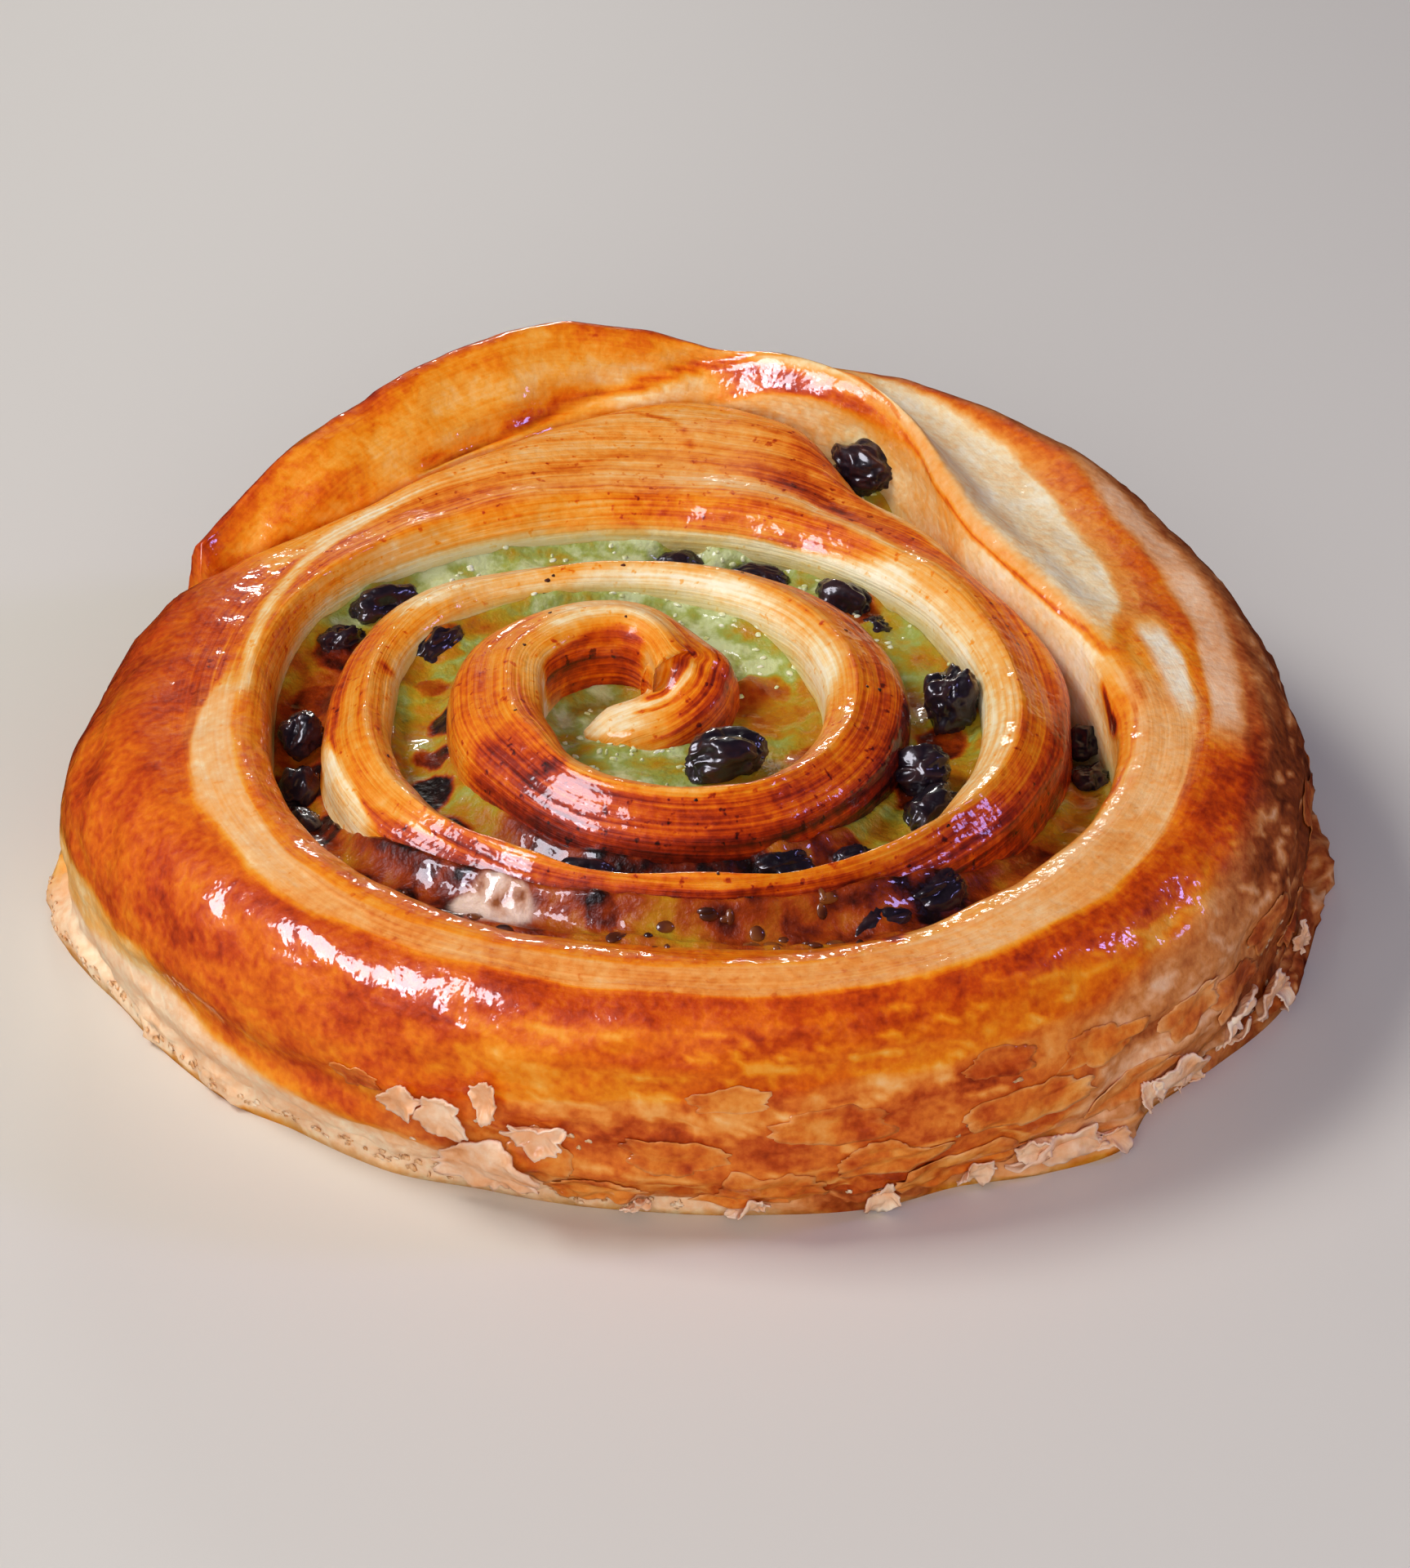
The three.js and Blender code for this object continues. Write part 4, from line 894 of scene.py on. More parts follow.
def on_surface(surface, turn, u, height):
    """Points and normals of the dough's surface at strip angles and corner numbers."""
    angles, corners, points, normals = surface
    row = np.interp(turn, angles, np.arange(len(angles)))
    near = np.clip(np.round(row).astype(int), 0, len(angles) - 2)
    column = np.array([np.interp(c, corners[k], np.arange(corners.shape[1]))
                       for c, k in zip(u.ravel(), near.ravel())]).reshape(u.shape)
    i = np.clip(row.astype(int), 0, len(angles) - 2)
    j = np.clip(column.astype(int), 0, corners.shape[1] - 2)
    a, b = (row - i)[..., None], (column - j)[..., None]

    def blend(grid):
        near_row, next_row = (mix(grid[k, j], grid[k, j + 1], b) for k in (i, i + 1))
        return mix(near_row, next_row, a)

    normal = blend(normals)
    normal = normal / np.linalg.norm(normal, axis=-1, keepdims=True)
    return blend(points) + normal * height[..., None], normal


def wall_corner(surface, turn, height):
    """Corner number where the outer wall stands at a height."""
    angles, corners, points, _ = surface
    k = int(np.argmin(np.abs(angles - turn)))
    outside = corners[k] > WALL_TOP
    z, u = points[k, outside, 2][::-1], corners[k, outside][::-1]
    order = np.argsort(z)
    return float(np.interp(height, z[order], u[order]))


def shard(a, seed, rough):
    """How far out a broken flake reaches at each angle: a few straight breaks, finely ragged."""
    chance = np.random.default_rng(seed)
    sides = np.arange(SHARD_SIDES) + chance.uniform(-SHARD_SWAY, SHARD_SWAY, SHARD_SIDES)
    breaks = 2 * math.pi * sides / SHARD_SIDES
    away = chance.uniform(SHARD_NEAR, SHARD_FAR, SHARD_SIDES)
    reach = away / np.maximum(np.cos(a[..., None] - breaks), 0.34)
    x, y = np.cos(a), np.sin(a)
    ragged = rough * fractal(1.6 * x + seed, 1.6 * y, 0 * x, 300 + seed, 5)
    return reach.min(axis=-1) * (1 + ragged)


def sheet(surface, where, form, seed):
    """A ragged thin sheet of crust that follows the wall and curls up at its edges."""
    angle, z, width, depth = where
    lift, thickness, curl, rough = form
    turn = angle + (2 * TURN if angle > 150 else 3 * TURN)
    reach = math.degrees(0.5 * width / float(outer_radius(np.array(turn))))
    low, high = (wall_corner(surface, turn, z + side * 0.5 * depth) for side in (1, -1))
    a = np.linspace(0, 2 * math.pi, SHEET_AROUND, endpoint=False)[None, :]
    share = np.linspace(SHEET_CORE, 1, SHEET_RINGS)[:, None]
    outline = share * shard(a, seed, rough)
    x, y = outline * np.cos(a), outline * np.sin(a)
    wave = fractal(1.3 * x + seed, 1.3 * y, 0 * x, 400 + seed, 3)
    height = lift + curl * smooth(0.4, 1.0, share) * (0.6 + 1.2 * wave) + 0.3 * lift * wave
    u = np.clip(mix(low, high, (y + 1) / 2), WALL_TOP + 0.5, WALL_FOOT)
    outer, normal = on_surface(surface, turn + reach * x, u, height)
    inner = outer - normal * thickness * (1.15 - 0.55 * share[..., None])
    rows = np.concatenate([outer, inner[::-1]])
    ends = [outer[0].mean(axis=0), inner[0].mean(axis=0)]
    edge = np.concatenate([share + 0 * x, (share + 0 * x)[::-1]])
    vertices = np.concatenate([rows.reshape(-1, 3), ends])
    return vertices, tube_faces(2 * SHEET_RINGS, SHEET_AROUND), np.append(edge, [0, 0])


def joined_sheets(name, surface, items, material):
    """Many sheets as one mesh; each item is a sheet's place, form, seed, browning and
    dryness."""
    vertices, faces, bake, dull = [], [], [], []
    base = 0
    for where, form, seed, level, dry in items:
        points, sides, edge = sheet(surface, where, form, seed)
        faces += [[k + base for k in side] for side in sides]
        base += len(points)
        vertices.append(points)
        mottle = 0.2 * fractal(*(points.T / 3.0), 91, 4)
        bake.append(level + mottle - 0.06 * smooth(0.8, 1.0, edge))
        dull.append(dry + 0.15 * smooth(0.8, 1.0, edge))
    vertices = np.concatenate(vertices)
    none = np.zeros(len(vertices))
    attributes = {"bake": np.concatenate(bake), "dull": np.clip(np.concatenate(dull), 0, 1),
                  "strip": vertices * [MM, MM, 0], "custard": none, "coil": none}
    return mesh_piece(name, vertices, faces, material, attributes)


def make_flakes(surface, material):
    items = [(flake, FLAKE_FORM, 10 + k, 0.32, 0.8) for k, flake in enumerate(FLAKES)]
    items += [(shred, SHRED_FORM, 70 + k, 0.30, 0.8) for k, shred in enumerate(SHREDS)]
    return joined_sheets("crust_flakes", surface, items, material)


def make_skins(surface, material):
    items = [(skin[:4], SKIN_FORM, 40 + k, *skin[4:]) for k, skin in enumerate(SKINS)]
    return joined_sheets("crust_skins", surface, items, material)


# The cream

# Depth of the syrup's colour along the cream: (angle, depth), from 0 for none to 1
GLAZE = [
    (207, 0.14), (250, 0.10), (300, 0.16), (345, 0.34), (385, 0.36), (396, 0.12), (425, 0.04),
    (450, 0.10), (480, 0.25), (520, 0.30), (550, 0.30), (575, 0.24), (590, 0.34), (610, 0.66),
    (630, 0.70), (655, 0.68), (668, 0.40), (684, 0.22), (700, 0.25), (720, 0.30), (740, 0.26),
    (765, 0.22), (785, 0.12), (800, 0.05), (850, 0.12), (868, 0.42), (885, 0.62), (900, 0.60),
    (915, 0.54), (935, 0.60), (948, 0.72), (960, 0.70), (975, 0.56), (990, 0.52), (1010, 0.54),
    (1030, 0.66), (1045, 0.62), (1060, 0.50), (1076, 0.30), (1090, 0.20), (1161, 0.10),
]
POCKET_GLAZE = 0.12
# A pale blister of dough: compass angle, radius, half width and half length
BLISTER = (249, 31.2, (2.5, 4.8))
# Pools of dark syrup on the cream: compass angle, radius, size, depth of colour
SYRUP = [
    (172, 16.2, 3.0, 0.9), (190, 17.0, 2.6, 0.8), (205, 19.4, 3.6, 0.95), (222, 22.4, 4.0, 0.95),
    (243, 24.0, 4.6, 1.0), (20, 15.6, 5.0, 0.46), (33, 16.8, 3.6, 0.50), (352, 20.4, 5.4, 0.55),
    (145, 33.6, 4.0, 0.8), (158, 31.8, 4.0, 0.75), (183, 29.8, 4.6, 0.8), (200, 30.2, 4.2, 0.85),
    (222, 33.0, 3.6, 0.8), (233, 33.6, 3.8, 0.9), (244, 32.4, 2.4, 0.9), (268, 31.6, 2.4, 0.74),
    (300, 37.0, 4.2, 0.76), (318, 39.0, 5.0, 0.86), (338, 42.4, 4.4, 0.7), (5, 44.0, 4.4, 0.75),
    (345, 30.6, 4.2, 0.9), (4, 31.4, 3.6, 0.8), (296, 25.6, 5.0, 0.9), (318, 28.0, 4.0, 0.75),
    (140, 22.6, 3.2, 0.60), (155, 20.0, 2.4, 0.55), (14, 35.0, 2.6, 0.60), (48, 33.6, 4.0, 0.60),
]
CREAM_AROUND = 560
CREAM_FLOOR = 0.4
CREAM_RINGS = 140
FIRST_RAY = 45.0
# Rings closer to the middle than this lie as far out on every ray
INNER_REACH = 37.5
INNER_RINGS = 98
# Depth of a pit under its middle, as a share of its whole depth
PIT_SINK = 0.42
# How high the cream is drawn up round a raisin, how far out as a share of the raisin's
# length, and how high the raisin has to lie for it
DRAWN_UP, DRAWN_REACH, DRAWN_FROM = 0.9, 0.62, 19.5
# The cream's rise at every wall, and how high and how far out its syrup climbs the front
EDGE_RISE = 0.8
CLIMBS = (1.2, 2.2)
CLIMB_REACH = 1.8
CLIMB_GLAZE = 0.10
BLISTER_RISE = 0.4


def lumps(x, y):
    """Unevenness of the cream: broad heaps, blisters and grain."""
    blisters = np.maximum(0, clouds(x, y, 2.6, 103, 2, shift=4) - 0.1)
    grain = clouds(x, y, 1.1, 107, 2, shift=9)
    return 0.6 * clouds(x, y, 6.5, 101, 2) + 0.56 * blisters + 0.07 * grain


def pressed(x, y, z):
    """Cream heights after its pits are opened and it is drawn up round the raisins."""
    for (angle, radius, height), (length, width, depth), turn in PITS:
        away = across_oval(x, y, angle, radius, (length / 2, width / 2), turn)
        z = mix(z, height - PIT_SINK * depth, 1 - smooth(0.55, 1.1, away))
    for (angle, radius, height), (length, _, _), _ in RAISINS:
        if height > DRAWN_FROM:
            cx, cy = spot(angle, radius)
            z = z + DRAWN_UP * hump(0, DRAWN_REACH * length, np.hypot(x - cx, y - cy))
    return z


def wall_radii(angle, level):
    """Radii of the strip's inner and outer walls at a height, for one angle."""
    corners = section_corners(np.array([float(angle)]))[0]
    up, down = corners[:CREST_CORNER], corners[OUTER_SIDE:][::-1]
    return np.interp(level, up[:, 1], up[:, 0]), np.interp(level, down[:, 1], down[:, 0])


def cream_ray(compass):
    """Heights and glaze of the cream from the middle outwards along one compass angle, as
    (radius, height, glaze) knots at the walls between which it lies, and its outer limit."""
    start = float(cream_level(compass)) if compass > 225 else POCKET_HEIGHT
    inside = float(along(GLAZE, compass)) if compass > 225 else POCKET_GLAZE
    far = wall_radii(compass, start)[0]
    knots = [(0.0, POCKET_HEIGHT, POCKET_GLAZE), (min(4.0, 0.5 * far), POCKET_HEIGHT, POCKET_GLAZE),
             (far, start, inside)]
    turns = [compass + TURN, compass + 2 * TURN]
    if compass <= CREAM_LAST - 3 * TURN:
        turns.append(compass + 3 * TURN)
    for angle in turns:
        level, mark = float(cream_level(angle)), float(along(GLAZE, angle))
        knots.append((wall_radii(angle - TURN, level)[1], level, mark))
        knots.append((wall_radii(angle, level)[0], level, mark))
    limit = 0.5 * float(rim_radius(turns[-1]) + outer_radius(turns[-1]))
    return np.array(knots), limit


def cream_along(compass):
    """Points and glaze of the cream along one ray, down to its foot at the outer limit."""
    knots, limit = cream_ray(compass)
    inside = np.linspace(0, INNER_REACH, INNER_RINGS + 1)[1:]
    beyond = np.linspace(INNER_REACH, limit, CREAM_RINGS - INNER_RINGS + 1)[1:]
    r = np.concatenate([inside, beyond])
    z, glaze = (np.interp(r, knots[:, 0], knots[:, k]) for k in (1, 2))
    for near in knots[2:, 0]:
        z = z + EDGE_RISE * np.exp(-((r - near) / EDGE_RISE) ** 2)
    in_front = float(smooth(0.3, 0.8, -math.sin(math.radians(compass))))
    for near, climb in zip(knots[3:6:2, 0], CLIMBS):
        rise = in_front * np.exp(-((r - near) / CLIMB_REACH) ** 2)
        z = z + climb * rise
        glaze = glaze + CLIMB_GLAZE * rise
    p = place(compass + 0 * r, r, z)
    p[:, 2] = pressed(*p.T) + lumps(p[:, 0], p[:, 1])
    foot = [p[-1, 0], p[-1, 1], CREAM_FLOOR]
    return np.vstack([p, foot]), np.append(glaze, glaze[-1])


def make_cream(material):
    """The custard as one surface whose edges lie hidden in the dough."""
    rays = [cream_along(compass) for compass in
            np.linspace(FIRST_RAY, FIRST_RAY + TURN, CREAM_AROUND, endpoint=False)]
    grid = np.array([points for points, _ in rays]).transpose(1, 0, 2)
    glaze = np.array([marks for _, marks in rays]).T
    x, y = grid[..., 0], grid[..., 1]
    away = across_oval(x, y, *BLISTER, BLISTER[0]) + 0.25 * clouds(x, y, 2.6, 117)
    blister = 1 - smooth(0.7, 0.95, away)
    grid[..., 2] += BLISTER_RISE * (1 - smooth(0.2, 1.1, away))
    for compass, radius, size, depth in SYRUP:
        cx, cy = spot(compass, radius)
        away = np.hypot(x - cx, y - cy) + 0.9 * clouds(x, y, 2.2, 113)
        glaze = np.maximum(glaze, depth * (1 - smooth(0.6 * size, 0.95 * size, away)))
    ends = [[*SPIRAL_MIDDLE, POCKET_HEIGHT], [*SPIRAL_MIDDLE, CREAM_FLOOR]]
    vertices = np.concatenate([grid.reshape(-1, 3), ends])
    attributes = {"glaze": np.append(glaze, [POCKET_GLAZE, POCKET_GLAZE]),
                  "blister": np.append(blister, [0, 0])}
    faces = tube_faces(*glaze.shape)
    return mesh_piece("cream_filling", vertices, faces, material, attributes), grid


# The raisins

RAISIN_AROUND, RAISIN_RINGS = 80, 52
# How much of a raisin's reach is plain, and what its folds, creases and lumps add to it
PLAIN_REACH, FOLD_REACH, CREASE_REACH, LUMP_REACH = 0.80, 0.19, 0.03, 0.22


def make_raisin(number, at, size, turn, material):
    """A shrivelled grape: a squashed, uneven ellipsoid creased by folds from end to end."""
    a = np.linspace(0, 2 * math.pi, RAISIN_AROUND, endpoint=False)[None, :]
    b = np.linspace(0, math.pi, RAISIN_RINGS + 2)[1:-1, None]
    x, y, z = np.cos(b) + 0 * a, np.sin(b) * np.cos(a), np.sin(b) * np.sin(a)
    seed, shift = 200 + 7 * number, 1.7 * number
    bend = 0.35 * noise(x * 1.5 + shift, y * 1.1, z * 1.1, seed + 2)
    fold = 1 - np.abs(fractal(x * 0.8 + shift, (y + bend) * 1.5, (z - bend) * 1.5, seed, 3)) * 2
    crease = 1 - np.abs(noise(x * 1.8, (y + bend) * 4.4, z * 4.4 + shift, seed + 5)) * 2
    lump = noise(x * 1.1, y * 1.2 + shift, z * 1.2, seed + 9)
    grow = PLAIN_REACH + FOLD_REACH * fold + CREASE_REACH * crease + LUMP_REACH * lump
    p = np.stack([x, y, z], axis=-1) * np.array(size) / 2 * grow[..., None]
    low, high = p.min(axis=(0, 1)), p.max(axis=(0, 1))
    p = (p - (low + high) / 2) * (size / (high - low))
    c, s = math.cos(math.radians(turn)), math.sin(math.radians(turn))
    angle, radius, height = at
    p = p @ np.array([[c, s, 0], [-s, c, 0], [0, 0, 1]]) + [*spot(angle, radius), height]
    vertices = np.concatenate([p.reshape(-1, 3), [p[0].mean(axis=0), p[-1].mean(axis=0)]])
    faces = [face[::-1] for face in tube_faces(RAISIN_RINGS, RAISIN_AROUND)]
    return mesh_piece("raisin_%02d_fruit" % number, vertices, faces, material,
                      {"fold": np.append(fold, [0, 0])})


# Materials

def set_inputs(tree, made, inputs):
    """Sets or links a node's inputs."""
    for key, value in dict(inputs).items():
        if isinstance(value, bpy.types.NodeSocket):
            tree.links.new(value, made.inputs[key])
        else:
            made.inputs[key].default_value = value


def node(tree, kind, inputs=(), **settings):
    """Adds a node with its settings and inputs."""
    made = tree.nodes.new(kind)
    for key, value in settings.items():
        setattr(made, key, value)
    set_inputs(tree, made, inputs)
    return made


def new_material(name):
    material = bpy.data.materials.new(name)
    material.use_nodes = True
    tree = material.node_tree
    tree.nodes.clear()
    shader = node(tree, "ShaderNodeBsdfPrincipled")
    node(tree, "ShaderNodeOutputMaterial", {"Surface": shader.outputs[0]})
    return material, tree, shader


def ramp(tree, factor, stops):
    made = node(tree, "ShaderNodeValToRGB", {"Fac": factor})
    bar = made.color_ramp
    while len(bar.elements) < len(stops):
        bar.elements.new(0.5)
    for element, (position, colour) in zip(bar.elements, stops):
        element.position = position
        element.color = linear(colour)
    return made.outputs["Color"]


def math_node(tree, operation, *values):
    return node(tree, "ShaderNodeMath", dict(enumerate(values)), operation=operation).outputs[0]


def blend_colour(tree, share, a, b):
    made = node(tree, "ShaderNodeMix", {"Factor": share, 6: a, 7: b}, data_type="RGBA")
    return made.outputs[2]


def attribute(tree, name, output="Fac"):
    return node(tree, "ShaderNodeAttribute", attribute_name=name).outputs[output]


def texture(tree, vector, scale, detail=4.0, **settings):
    made = node(tree, "ShaderNodeTexNoise", {"Vector": vector, "Scale": scale, "Detail": detail},
                **settings)
    return made.outputs["Fac"]


def object_places(tree):
    return node(tree, "ShaderNodeTexCoord").outputs["Object"]


def swing(tree, factor, reach):
    """A factor from 0 to 1 as a swing about 0."""
    return math_node(tree, "MULTIPLY_ADD", factor, reach, -reach / 2)


def ranged(tree, value, start, end, low=0.0, high=1.0):
    """A value between two bounds as a share from low to high."""
    made = node(tree, "ShaderNodeMapRange", {0: value, 1: start, 2: end, 3: low, 4: high})
    return made.outputs[0]


def bump(tree, height, strength, distance_mm):
    made = node(tree, "ShaderNodeBump", {"Height": height, "Strength": strength,
                                         "Distance": distance_mm * MM})
    return made.outputs["Normal"]


def stretched(tree, strip, along_mm, across_mm):
    """Strip coordinates counted in steps of the given lengths."""
    steps = (1 / (along_mm * MM), 1 / (across_mm * MM), 0.0)
    made = node(tree, "ShaderNodeVectorMath", {0: strip, 1: steps}, operation="MULTIPLY")
    return made.outputs["Vector"]


# Colours of the crust from bare dough to the darkest glaze, where it is glazed and where it
# is dry and floury
GLAZED_CRUST = [
    (0.0, "#FFF0CE"), (0.12, "#FCDCA2"), (0.24, "#F8BA68"), (0.36, "#F8A438"),
    (0.47, "#F48C10"), (0.57, "#E66A04"), (0.67, "#CA4402"), (0.77, "#9A2603"),
    (0.88, "#661604"), (1.0, "#2A0904"),
]
FLOURY_CRUST = [
    (0.0, "#FBF0DC"), (0.2, "#F6D3BA"), (0.4, "#E8AF88"), (0.55, "#C6854C"),
    (0.7, "#955020"), (0.85, "#5E2C12"), (1.0, "#30150A"),
]
CUSTARD_STAIN = "#CDBF6C"
# Colours of the cream from bare custard to the deepest syrup, and of the blister
SYRUPED_CREAM = [
    (0.0, "#CCD49C"), (0.12, "#A0AA52"), (0.24, "#B09422"), (0.38, "#BC7A10"),
    (0.52, "#AE560C"), (0.64, "#9A3604"), (0.78, "#681C04"), (0.9, "#260A04"),
    (1.0, "#100404"),
]
BLISTER_SKIN = [(0.40, "#94522C"), (0.47, "#C89478"), (0.58, "#E6C6B4")]
RAISIN_COLOURS = [
    (0.0, "#0C080E"), (0.5, "#1C131C"), (0.68, "#321D20"), (0.82, "#4C281E"), (1.0, "#663216"),
]


def baked_crust():
    """Egg-washed laminated dough, glazed after baking: fine lines of lamination run along the
    strip, the wall is mottled, and a clear glaze lies over all."""
    material, tree, shader = new_material("baked_crust")
    bake, coil, custard, dull = (attribute(tree, name)
                                 for name in ("bake", "coil", "custard", "dull"))
    strip, coords = attribute(tree, "strip", "Vector"), object_places(tree)
    fine = texture(tree, stretched(tree, strip, 24, 0.34), 1.0, 5.0, noise_dimensions="2D")
    broad = texture(tree, stretched(tree, strip, 16, 1.7), 1.0, 4.0, noise_dimensions="2D")
    mottle = texture(tree, coords, 190.0, 5.0)
    speckle = texture(tree, coords, 1100.0, 5.0)
    dots = ranged(tree, texture(tree, coords, 1000.0, 2.0), 0.64, 0.72, high=0.20)
    streaks = math_node(tree, "ADD", swing(tree, fine, 0.40), swing(tree, broad, 0.38))
    total = bake
    for part in (math_node(tree, "MULTIPLY", streaks, coil), swing(tree, mottle, 0.34),
                 swing(tree, speckle, 0.32), math_node(tree, "MULTIPLY", dots, coil)):
        total = math_node(tree, "ADD", total, part)
    colour = blend_colour(tree, ranged(tree, dull, 0.35, 0.95), ramp(tree, total, GLAZED_CRUST),
                          ramp(tree, total, FLOURY_CRUST))
    colour = blend_colour(tree, math_node(tree, "MULTIPLY", custard, 0.7), colour,
                          linear(CUSTARD_STAIN))
    height = math_node(tree, "MULTIPLY", fine, coil)
    height = math_node(tree, "MULTIPLY_ADD", height, 0.4, mottle)
    height = math_node(tree, "MULTIPLY_ADD", speckle, 0.5, height)
    dents = texture(tree, coords, 260.0, 3.5)
    washed = ranged(tree, bake, 0.18, 0.42, 0.14, 0.95)
    moist = math_node(tree, "SUBTRACT", 1.0, dull)
    thin = math_node(tree, "MULTIPLY_ADD", coil, -0.35, moist)
    set_inputs(tree, shader, {
        "Base Color": colour, "Roughness": 0.5, "Specular IOR Level": 0.15,
        "Normal": bump(tree, height, 0.6, 0.5), "Coat Normal": bump(tree, dents, 0.5, 1.1),
        "Coat Weight": math_node(tree, "MULTIPLY", washed, thin), "Coat Roughness": 0.11,
        "Coat IOR": 1.55, "Subsurface Weight": 0.04, "Subsurface Radius": (1.0, 0.45, 0.2),
        "Subsurface Scale": 0.0016,
    })
    return material


def glazed_custard():
    """Baked pastry cream, grainy and green-yellow, under brown syrup where the glaze pooled."""
    material, tree, shader = new_material("glazed_custard")
    coords = object_places(tree)
    cloud = texture(tree, coords, 260.0, 4.0)
    grain = texture(tree, coords, 1300.0, 3.0)
    total = math_node(tree, "ADD", attribute(tree, "glaze"), swing(tree, cloud, 1.1))
    total = math_node(tree, "ADD", total, swing(tree, grain, 0.16))
    colour = blend_colour(tree, attribute(tree, "blister"), ramp(tree, total, SYRUPED_CREAM),
                          ramp(tree, cloud, BLISTER_SKIN))
    ripples = texture(tree, coords, 460.0, 2.0)
    set_inputs(tree, shader, {
        "Base Color": colour, "Roughness": 0.45, "Specular IOR Level": 0.2,
        "Normal": bump(tree, grain, 0.6, 0.5), "Coat Normal": bump(tree, ripples, 0.4, 0.5),
        "Coat Weight": 0.7, "Coat Roughness": 0.05, "Subsurface Weight": 0.15,
        "Subsurface Radius": (1.0, 0.8, 0.3), "Subsurface Scale": 0.0015,
    })
    return material


def raisin_skin():
    """Shrivelled dark grape skin, wet with syrup."""
    material, tree, shader = new_material("raisin_skin")
    coords = object_places(tree)
    cloud = math_node(tree, "MULTIPLY", texture(tree, coords, 420.0, 4.0), 0.8)
    total = math_node(tree, "MULTIPLY_ADD", attribute(tree, "fold"), 0.22, cloud)
    pores = texture(tree, coords, 1400.0, 3.0)
    set_inputs(tree, shader, {
        "Base Color": ramp(tree, total, RAISIN_COLOURS), "Normal": bump(tree, pores, 0.5, 0.3),
        "Roughness": 0.5, "Specular IOR Level": 0.15, "Coat Weight": 0.9, "Coat Roughness": 0.17,
    })
    return material


def plain_crumb(name, colours, scale, coat):
    """Small scattered bits whose colour varies from one bit to the next."""
    material, tree, shader = new_material(name)
    colour = ramp(tree, texture(tree, object_places(tree), scale, 2.0),
                  [(0.35 + 0.15 * k, hex_colour) for k, hex_colour in enumerate(colours)])
    set_inputs(tree, shader, {
        "Base Color": colour, "Roughness": 0.6, "Specular IOR Level": 0.2,
        "Coat Weight": coat, "Coat Roughness": 0.06,
    })
    return material


# Crumbs, curds, bubbles and specks, scattered by Geometry Nodes

# Name, where they lie, bits for each square centimetre, smallest and largest half sizes in
# mm, unevenness as a share of the size, and seed
SCATTERS = [
    ("lip_crumbs", "lip", 80.0, (0.16, 0.14, 0.08), (0.56, 0.42, 0.22), 2.7, 3),
    ("flake_crumbs", "flakes", 10.0, (0.16, 0.16, 0.04), (0.5, 0.4, 0.12), 2.7, 5),
    ("custard_curds", "green", 44.0, (0.12, 0.12, 0.1), (0.46, 0.46, 0.26), 1.2, 7),
    ("syrup_bubbles", "caramel", 14.0, (0.3, 0.3, 0.14), (1.0, 0.9, 0.36), 0.3, 11),
    ("dark_specks", "tops", 1.2, (0.1, 0.1, 0.06), (0.30, 0.28, 0.12), 1.5, 13),
]


def scatter_tree():
    """Geometry Nodes tree that sets small rounded bits on the faces of a mesh."""
    tree = bpy.data.node_groups.new("scatter", "GeometryNodeTree")
    kinds = {"Geometry": "NodeSocketGeometry", "Density": "NodeSocketFloat",
             "Smallest": "NodeSocketVector", "Largest": "NodeSocketVector",
             "Unevenness": "NodeSocketFloat", "Seed": "NodeSocketInt",
             "Material": "NodeSocketMaterial"}
    for label, kind in kinds.items():
        tree.interface.new_socket(name=label, in_out="INPUT", socket_type=kind)
    tree.interface.new_socket(name="Geometry", in_out="OUTPUT", socket_type="NodeSocketGeometry")
    given = node(tree, "NodeGroupInput").outputs
    points = node(tree, "GeometryNodeDistributePointsOnFaces",
                  {"Mesh": given["Geometry"], "Density": given["Density"], "Seed": given["Seed"]})
    size = node(tree, "FunctionNodeRandomValue",
                {0: given["Smallest"], 1: given["Largest"], "Seed": given["Seed"]},
                data_type="FLOAT_VECTOR").outputs[0]
    bit = node(tree, "GeometryNodeMeshIcoSphere", {"Radius": 1.0, "Subdivisions": 2})
    bumps = node(tree, "ShaderNodeTexNoise", {"Scale": 1.1, "Detail": 1.0}).outputs["Color"]
    about = node(tree, "ShaderNodeVectorMath", {0: bumps, 1: (0.5, 0.5, 0.5)},
                 operation="SUBTRACT").outputs["Vector"]
    push = node(tree, "ShaderNodeVectorMath", {0: about, "Scale": given["Unevenness"]},
                operation="SCALE").outputs["Vector"]
    shaped = node(tree, "GeometryNodeSetPosition", {"Geometry": bit.outputs["Mesh"],
                                                    "Offset": push}).outputs[0]
    spread = node(tree, "GeometryNodeInstanceOnPoints",
                  {"Points": points.outputs["Points"], "Instance": shaped,
                   "Rotation": points.outputs["Rotation"], "Scale": size})
    real = node(tree, "GeometryNodeRealizeInstances", {0: spread.outputs[0]}).outputs[0]
    covered = node(tree, "GeometryNodeSetMaterial",
                   {"Geometry": real, "Material": given["Material"]}).outputs[0]
    node(tree, "NodeGroupOutput", {"Geometry": covered})
    return tree


def faces_within(grid, mask, closed=False):
    """The part of a grid of points whose cells have all four corners in the mask."""
    cells = grid_cells(*mask.shape, closed)
    inside = mask.ravel()[cells].all(axis=-1)
    used, numbers = np.unique(cells[inside], return_inverse=True)
    return grid.reshape(-1, 3)[used], numbers.reshape(-1, 4).tolist()


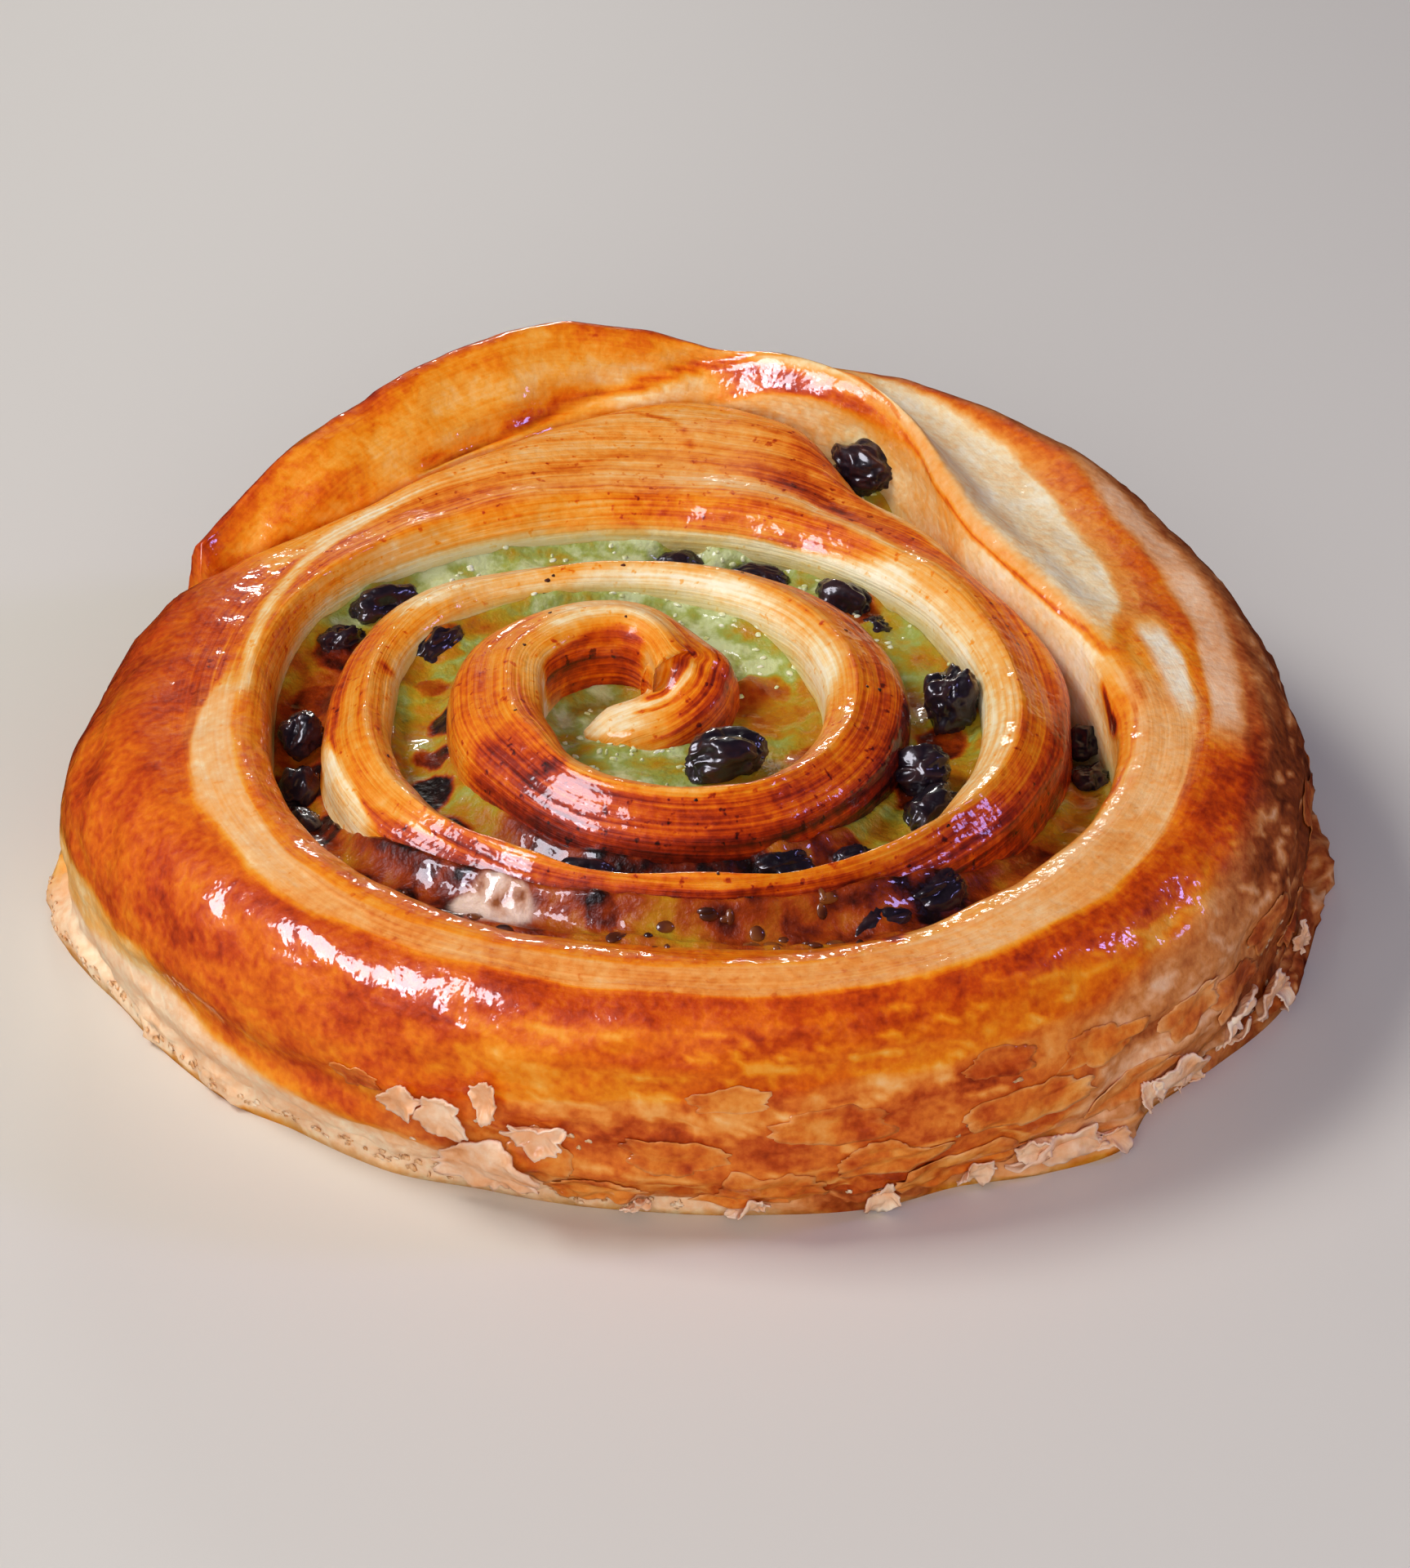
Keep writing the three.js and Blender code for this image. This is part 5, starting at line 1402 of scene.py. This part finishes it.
def scattered(tree, name, ground, per_cm2, smallest, largest, uneven, seed, material):
    """One piece of scattered bits over a patch of ground."""
    source = mesh_piece(name + "_ground", *ground, material)
    modifier = source.modifiers.new("scatter", "NODES")
    modifier.node_group = tree
    values = {"Density": per_cm2 * CM2_IN_M2, "Smallest": [v * MM for v in smallest],
              "Largest": [v * MM for v in largest], "Unevenness": uneven, "Seed": seed,
              "Material": material}
    for item in tree.interface.items_tree:
        if item.in_out == "INPUT" and item.name in values:
            modifier[item.identifier] = values[item.name]
    graph = bpy.context.evaluated_depsgraph_get()
    mesh = bpy.data.meshes.new_from_object(source.evaluated_get(graph))
    mesh.name = name
    shade_smooth(mesh)
    bpy.data.objects.remove(source)
    return put_in_scene(name, mesh)


def grounds(surface, cream_grid):
    """The patches of dough and cream on which each kind of bit lies."""
    angles, u, points, _ = surface
    turn = angles[:, None] + 0 * u
    ragged = clouds(points[..., 0], points[..., 1], 5, 141)
    lip = (turn > 890) & (turn < 1000) & (u > 15.5) & (u < 16.6)
    low = (turn > 962) & (turn < 1070) & (u > 12.4) & (u < 15.6) & (ragged > 0.15)
    tops = (turn > 80) & (turn < 720) & (u > 5.0) & (u < 8.5)
    x, y = cream_grid[..., 0] - SPIRAL_MIDDLE[0], cream_grid[..., 1] - SPIRAL_MIDDLE[1]
    compass, radius = np.degrees(np.arctan2(y, x)) % TURN, np.hypot(x, y)
    upright = cream_grid[..., 2] > 9
    green = ((compass > 25) & (compass < 130)) | (radius < 12)
    green &= upright & (clouds(x, y, 4, 143) > 0)
    caramel = (compass > 232) & (compass < 304) & (radius > 29.5)
    caramel &= upright & (clouds(x, y, 5, 145, 2) > -0.25)
    return {"lip": faces_within(points, lip), "flakes": faces_within(points, low),
            "tops": faces_within(points, tops),
            "green": faces_within(cream_grid, green, closed=True),
            "caramel": faces_within(cream_grid, caramel, closed=True)}


# Stage

# The camera fitted to the photograph
SENSOR_MM = 36.0
FOCAL_PX, FRAME_PX = 6850, 1920
CAMERA_AT = (0.0015, -0.45985, 0.31046)
CAMERA_TILT = 57.0
# Soft lights that shine on the pastry: name, compass angle, elevation, width and height in m,
# power, colour, and the kind of light that they don't give
LIGHTS = [
    ("window_back", 96, 18, 0.18, 0.05, 1.5, "#FFFDF8", "diffuse"),
    ("window_left", 176, 52, 0.40, 0.30, 5.2, "#FFFDFA", "glossy"),
    ("glare_left", 199, 41, 0.46, 0.42, 10.5, "#F4F2FF", "diffuse"),
    ("glare_low", 210, 27, 0.24, 0.18, 2.8, "#F0ECFF", "diffuse"),
    ("fill_front", -92, 26, 0.9, 0.5, 4.8, "#FFFFFF", "glossy"),
    ("sky_right", 0, 32, 0.12, 0.16, 1.3, "#B0A8FF", None),
]
LIGHT_DISTANCE = 0.9
LIGHT_AIM = (0, 0, 0.02)
FLOOR_REACH = 3


def make_camera():
    data = bpy.data.cameras.new("camera")
    data.sensor_width = SENSOR_MM
    data.lens = FOCAL_PX * SENSOR_MM / FRAME_PX
    camera = put_in_scene("camera", data)
    camera.location = CAMERA_AT
    camera.rotation_euler = (math.radians(CAMERA_TILT), 0, 0)
    bpy.context.scene.camera = camera


def make_light(name, azimuth, elevation, width, height, power, colour, unlit):
    data = bpy.data.lights.new(name, "AREA")
    data.energy = power
    data.shape = "RECTANGLE"
    data.size = width
    data.size_y = height
    data.color = linear(colour)[:3]
    a, e = math.radians(azimuth), math.radians(elevation)
    way = Vector((math.cos(e) * math.cos(a), math.cos(e) * math.sin(a), math.sin(e)))
    lamp = put_in_scene(name, data)
    lamp.location = way * LIGHT_DISTANCE + Vector(LIGHT_AIM)
    lamp.rotation_euler = (-way).to_track_quat("-Z", "Y").to_euler()
    lamp.visible_diffuse = unlit != "diffuse"
    lamp.visible_glossy = unlit != "glossy"


def make_floor():
    material, tree, shader = new_material("pale_floor")
    set_inputs(tree, shader, {"Base Color": linear("#D9D4CC"), "Roughness": 0.6})
    mesh = bpy.data.meshes.new("floor")
    corners = [(x * FLOOR_REACH, y * FLOOR_REACH, 0)
               for x, y in ((-1, -1), (1, -1), (1, 1), (-1, 1))]
    mesh.from_pydata(corners, [], [(0, 1, 2, 3)])
    mesh.materials.append(material)
    floor = put_in_scene("floor", mesh)
    floor.visible_glossy = False


def make_world():
    world = bpy.data.worlds.new("studio")
    world.use_nodes = True
    background = world.node_tree.nodes["Background"]
    background.inputs["Color"].default_value = linear("#F4F2EE")
    background.inputs["Strength"].default_value = 0.12
    world.cycles_visibility.glossy = False
    bpy.context.scene.world = world


make_camera()
make_floor()
make_world()
for light in LIGHTS:
    make_light(*light)
bpy.context.scene.view_settings.view_transform = "Standard"

crust, custard, skin = baked_crust(), glazed_custard(), raisin_skin()
dough, surface = make_dough(crust)
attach(dough, "root")
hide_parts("dough")
for piece in (make_flakes(surface, crust), make_skins(surface, crust)):
    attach(piece, "root")
cream, cream_grid = make_cream(custard)
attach(cream, "root")
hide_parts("cream")
for number, (at, size, turn) in enumerate(RAISINS, 1):
    fruit = make_raisin(number, at, size, turn, skin)
    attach(fruit, "root")
    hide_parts("raisin_%02d" % number)

pale_crumb = plain_crumb("dry_crumb", ["#CC9058", "#E8B98A", "#F6DEC0"], 900.0, 0.0)
# Pale curds on the green cream; their near-white colours are partly painted highlight for the
# glinting grain
curd = plain_crumb("custard_curd", ["#C9CE7E", "#E4E8B8", "#F6F6DE"], 900.0, 0.7)
bubble = plain_crumb("syrup_bubble", ["#2E0E04", "#5A2408", "#8A4A16"], 300.0, 1.0)
speck = plain_crumb("scorched_speck", ["#1C0A06", "#3A1608", "#5A260E"], 900.0, 0.3)
scatter_looks = {"lip": (pale_crumb, "crust"), "flakes": (pale_crumb, "crust"),
                 "green": (curd, "cream"), "caramel": (bubble, "cream"), "tops": (speck, "crust")}
scatter_group = scatter_tree()
patches = grounds(surface, cream_grid)
for name, where, per_cm2, smallest, largest, uneven, seed in SCATTERS:
    look, slot = scatter_looks[where]
    bits = scattered(scatter_group, name, patches[where], per_cm2, smallest, largest, uneven,
                     seed, look)
    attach(bits, "root")
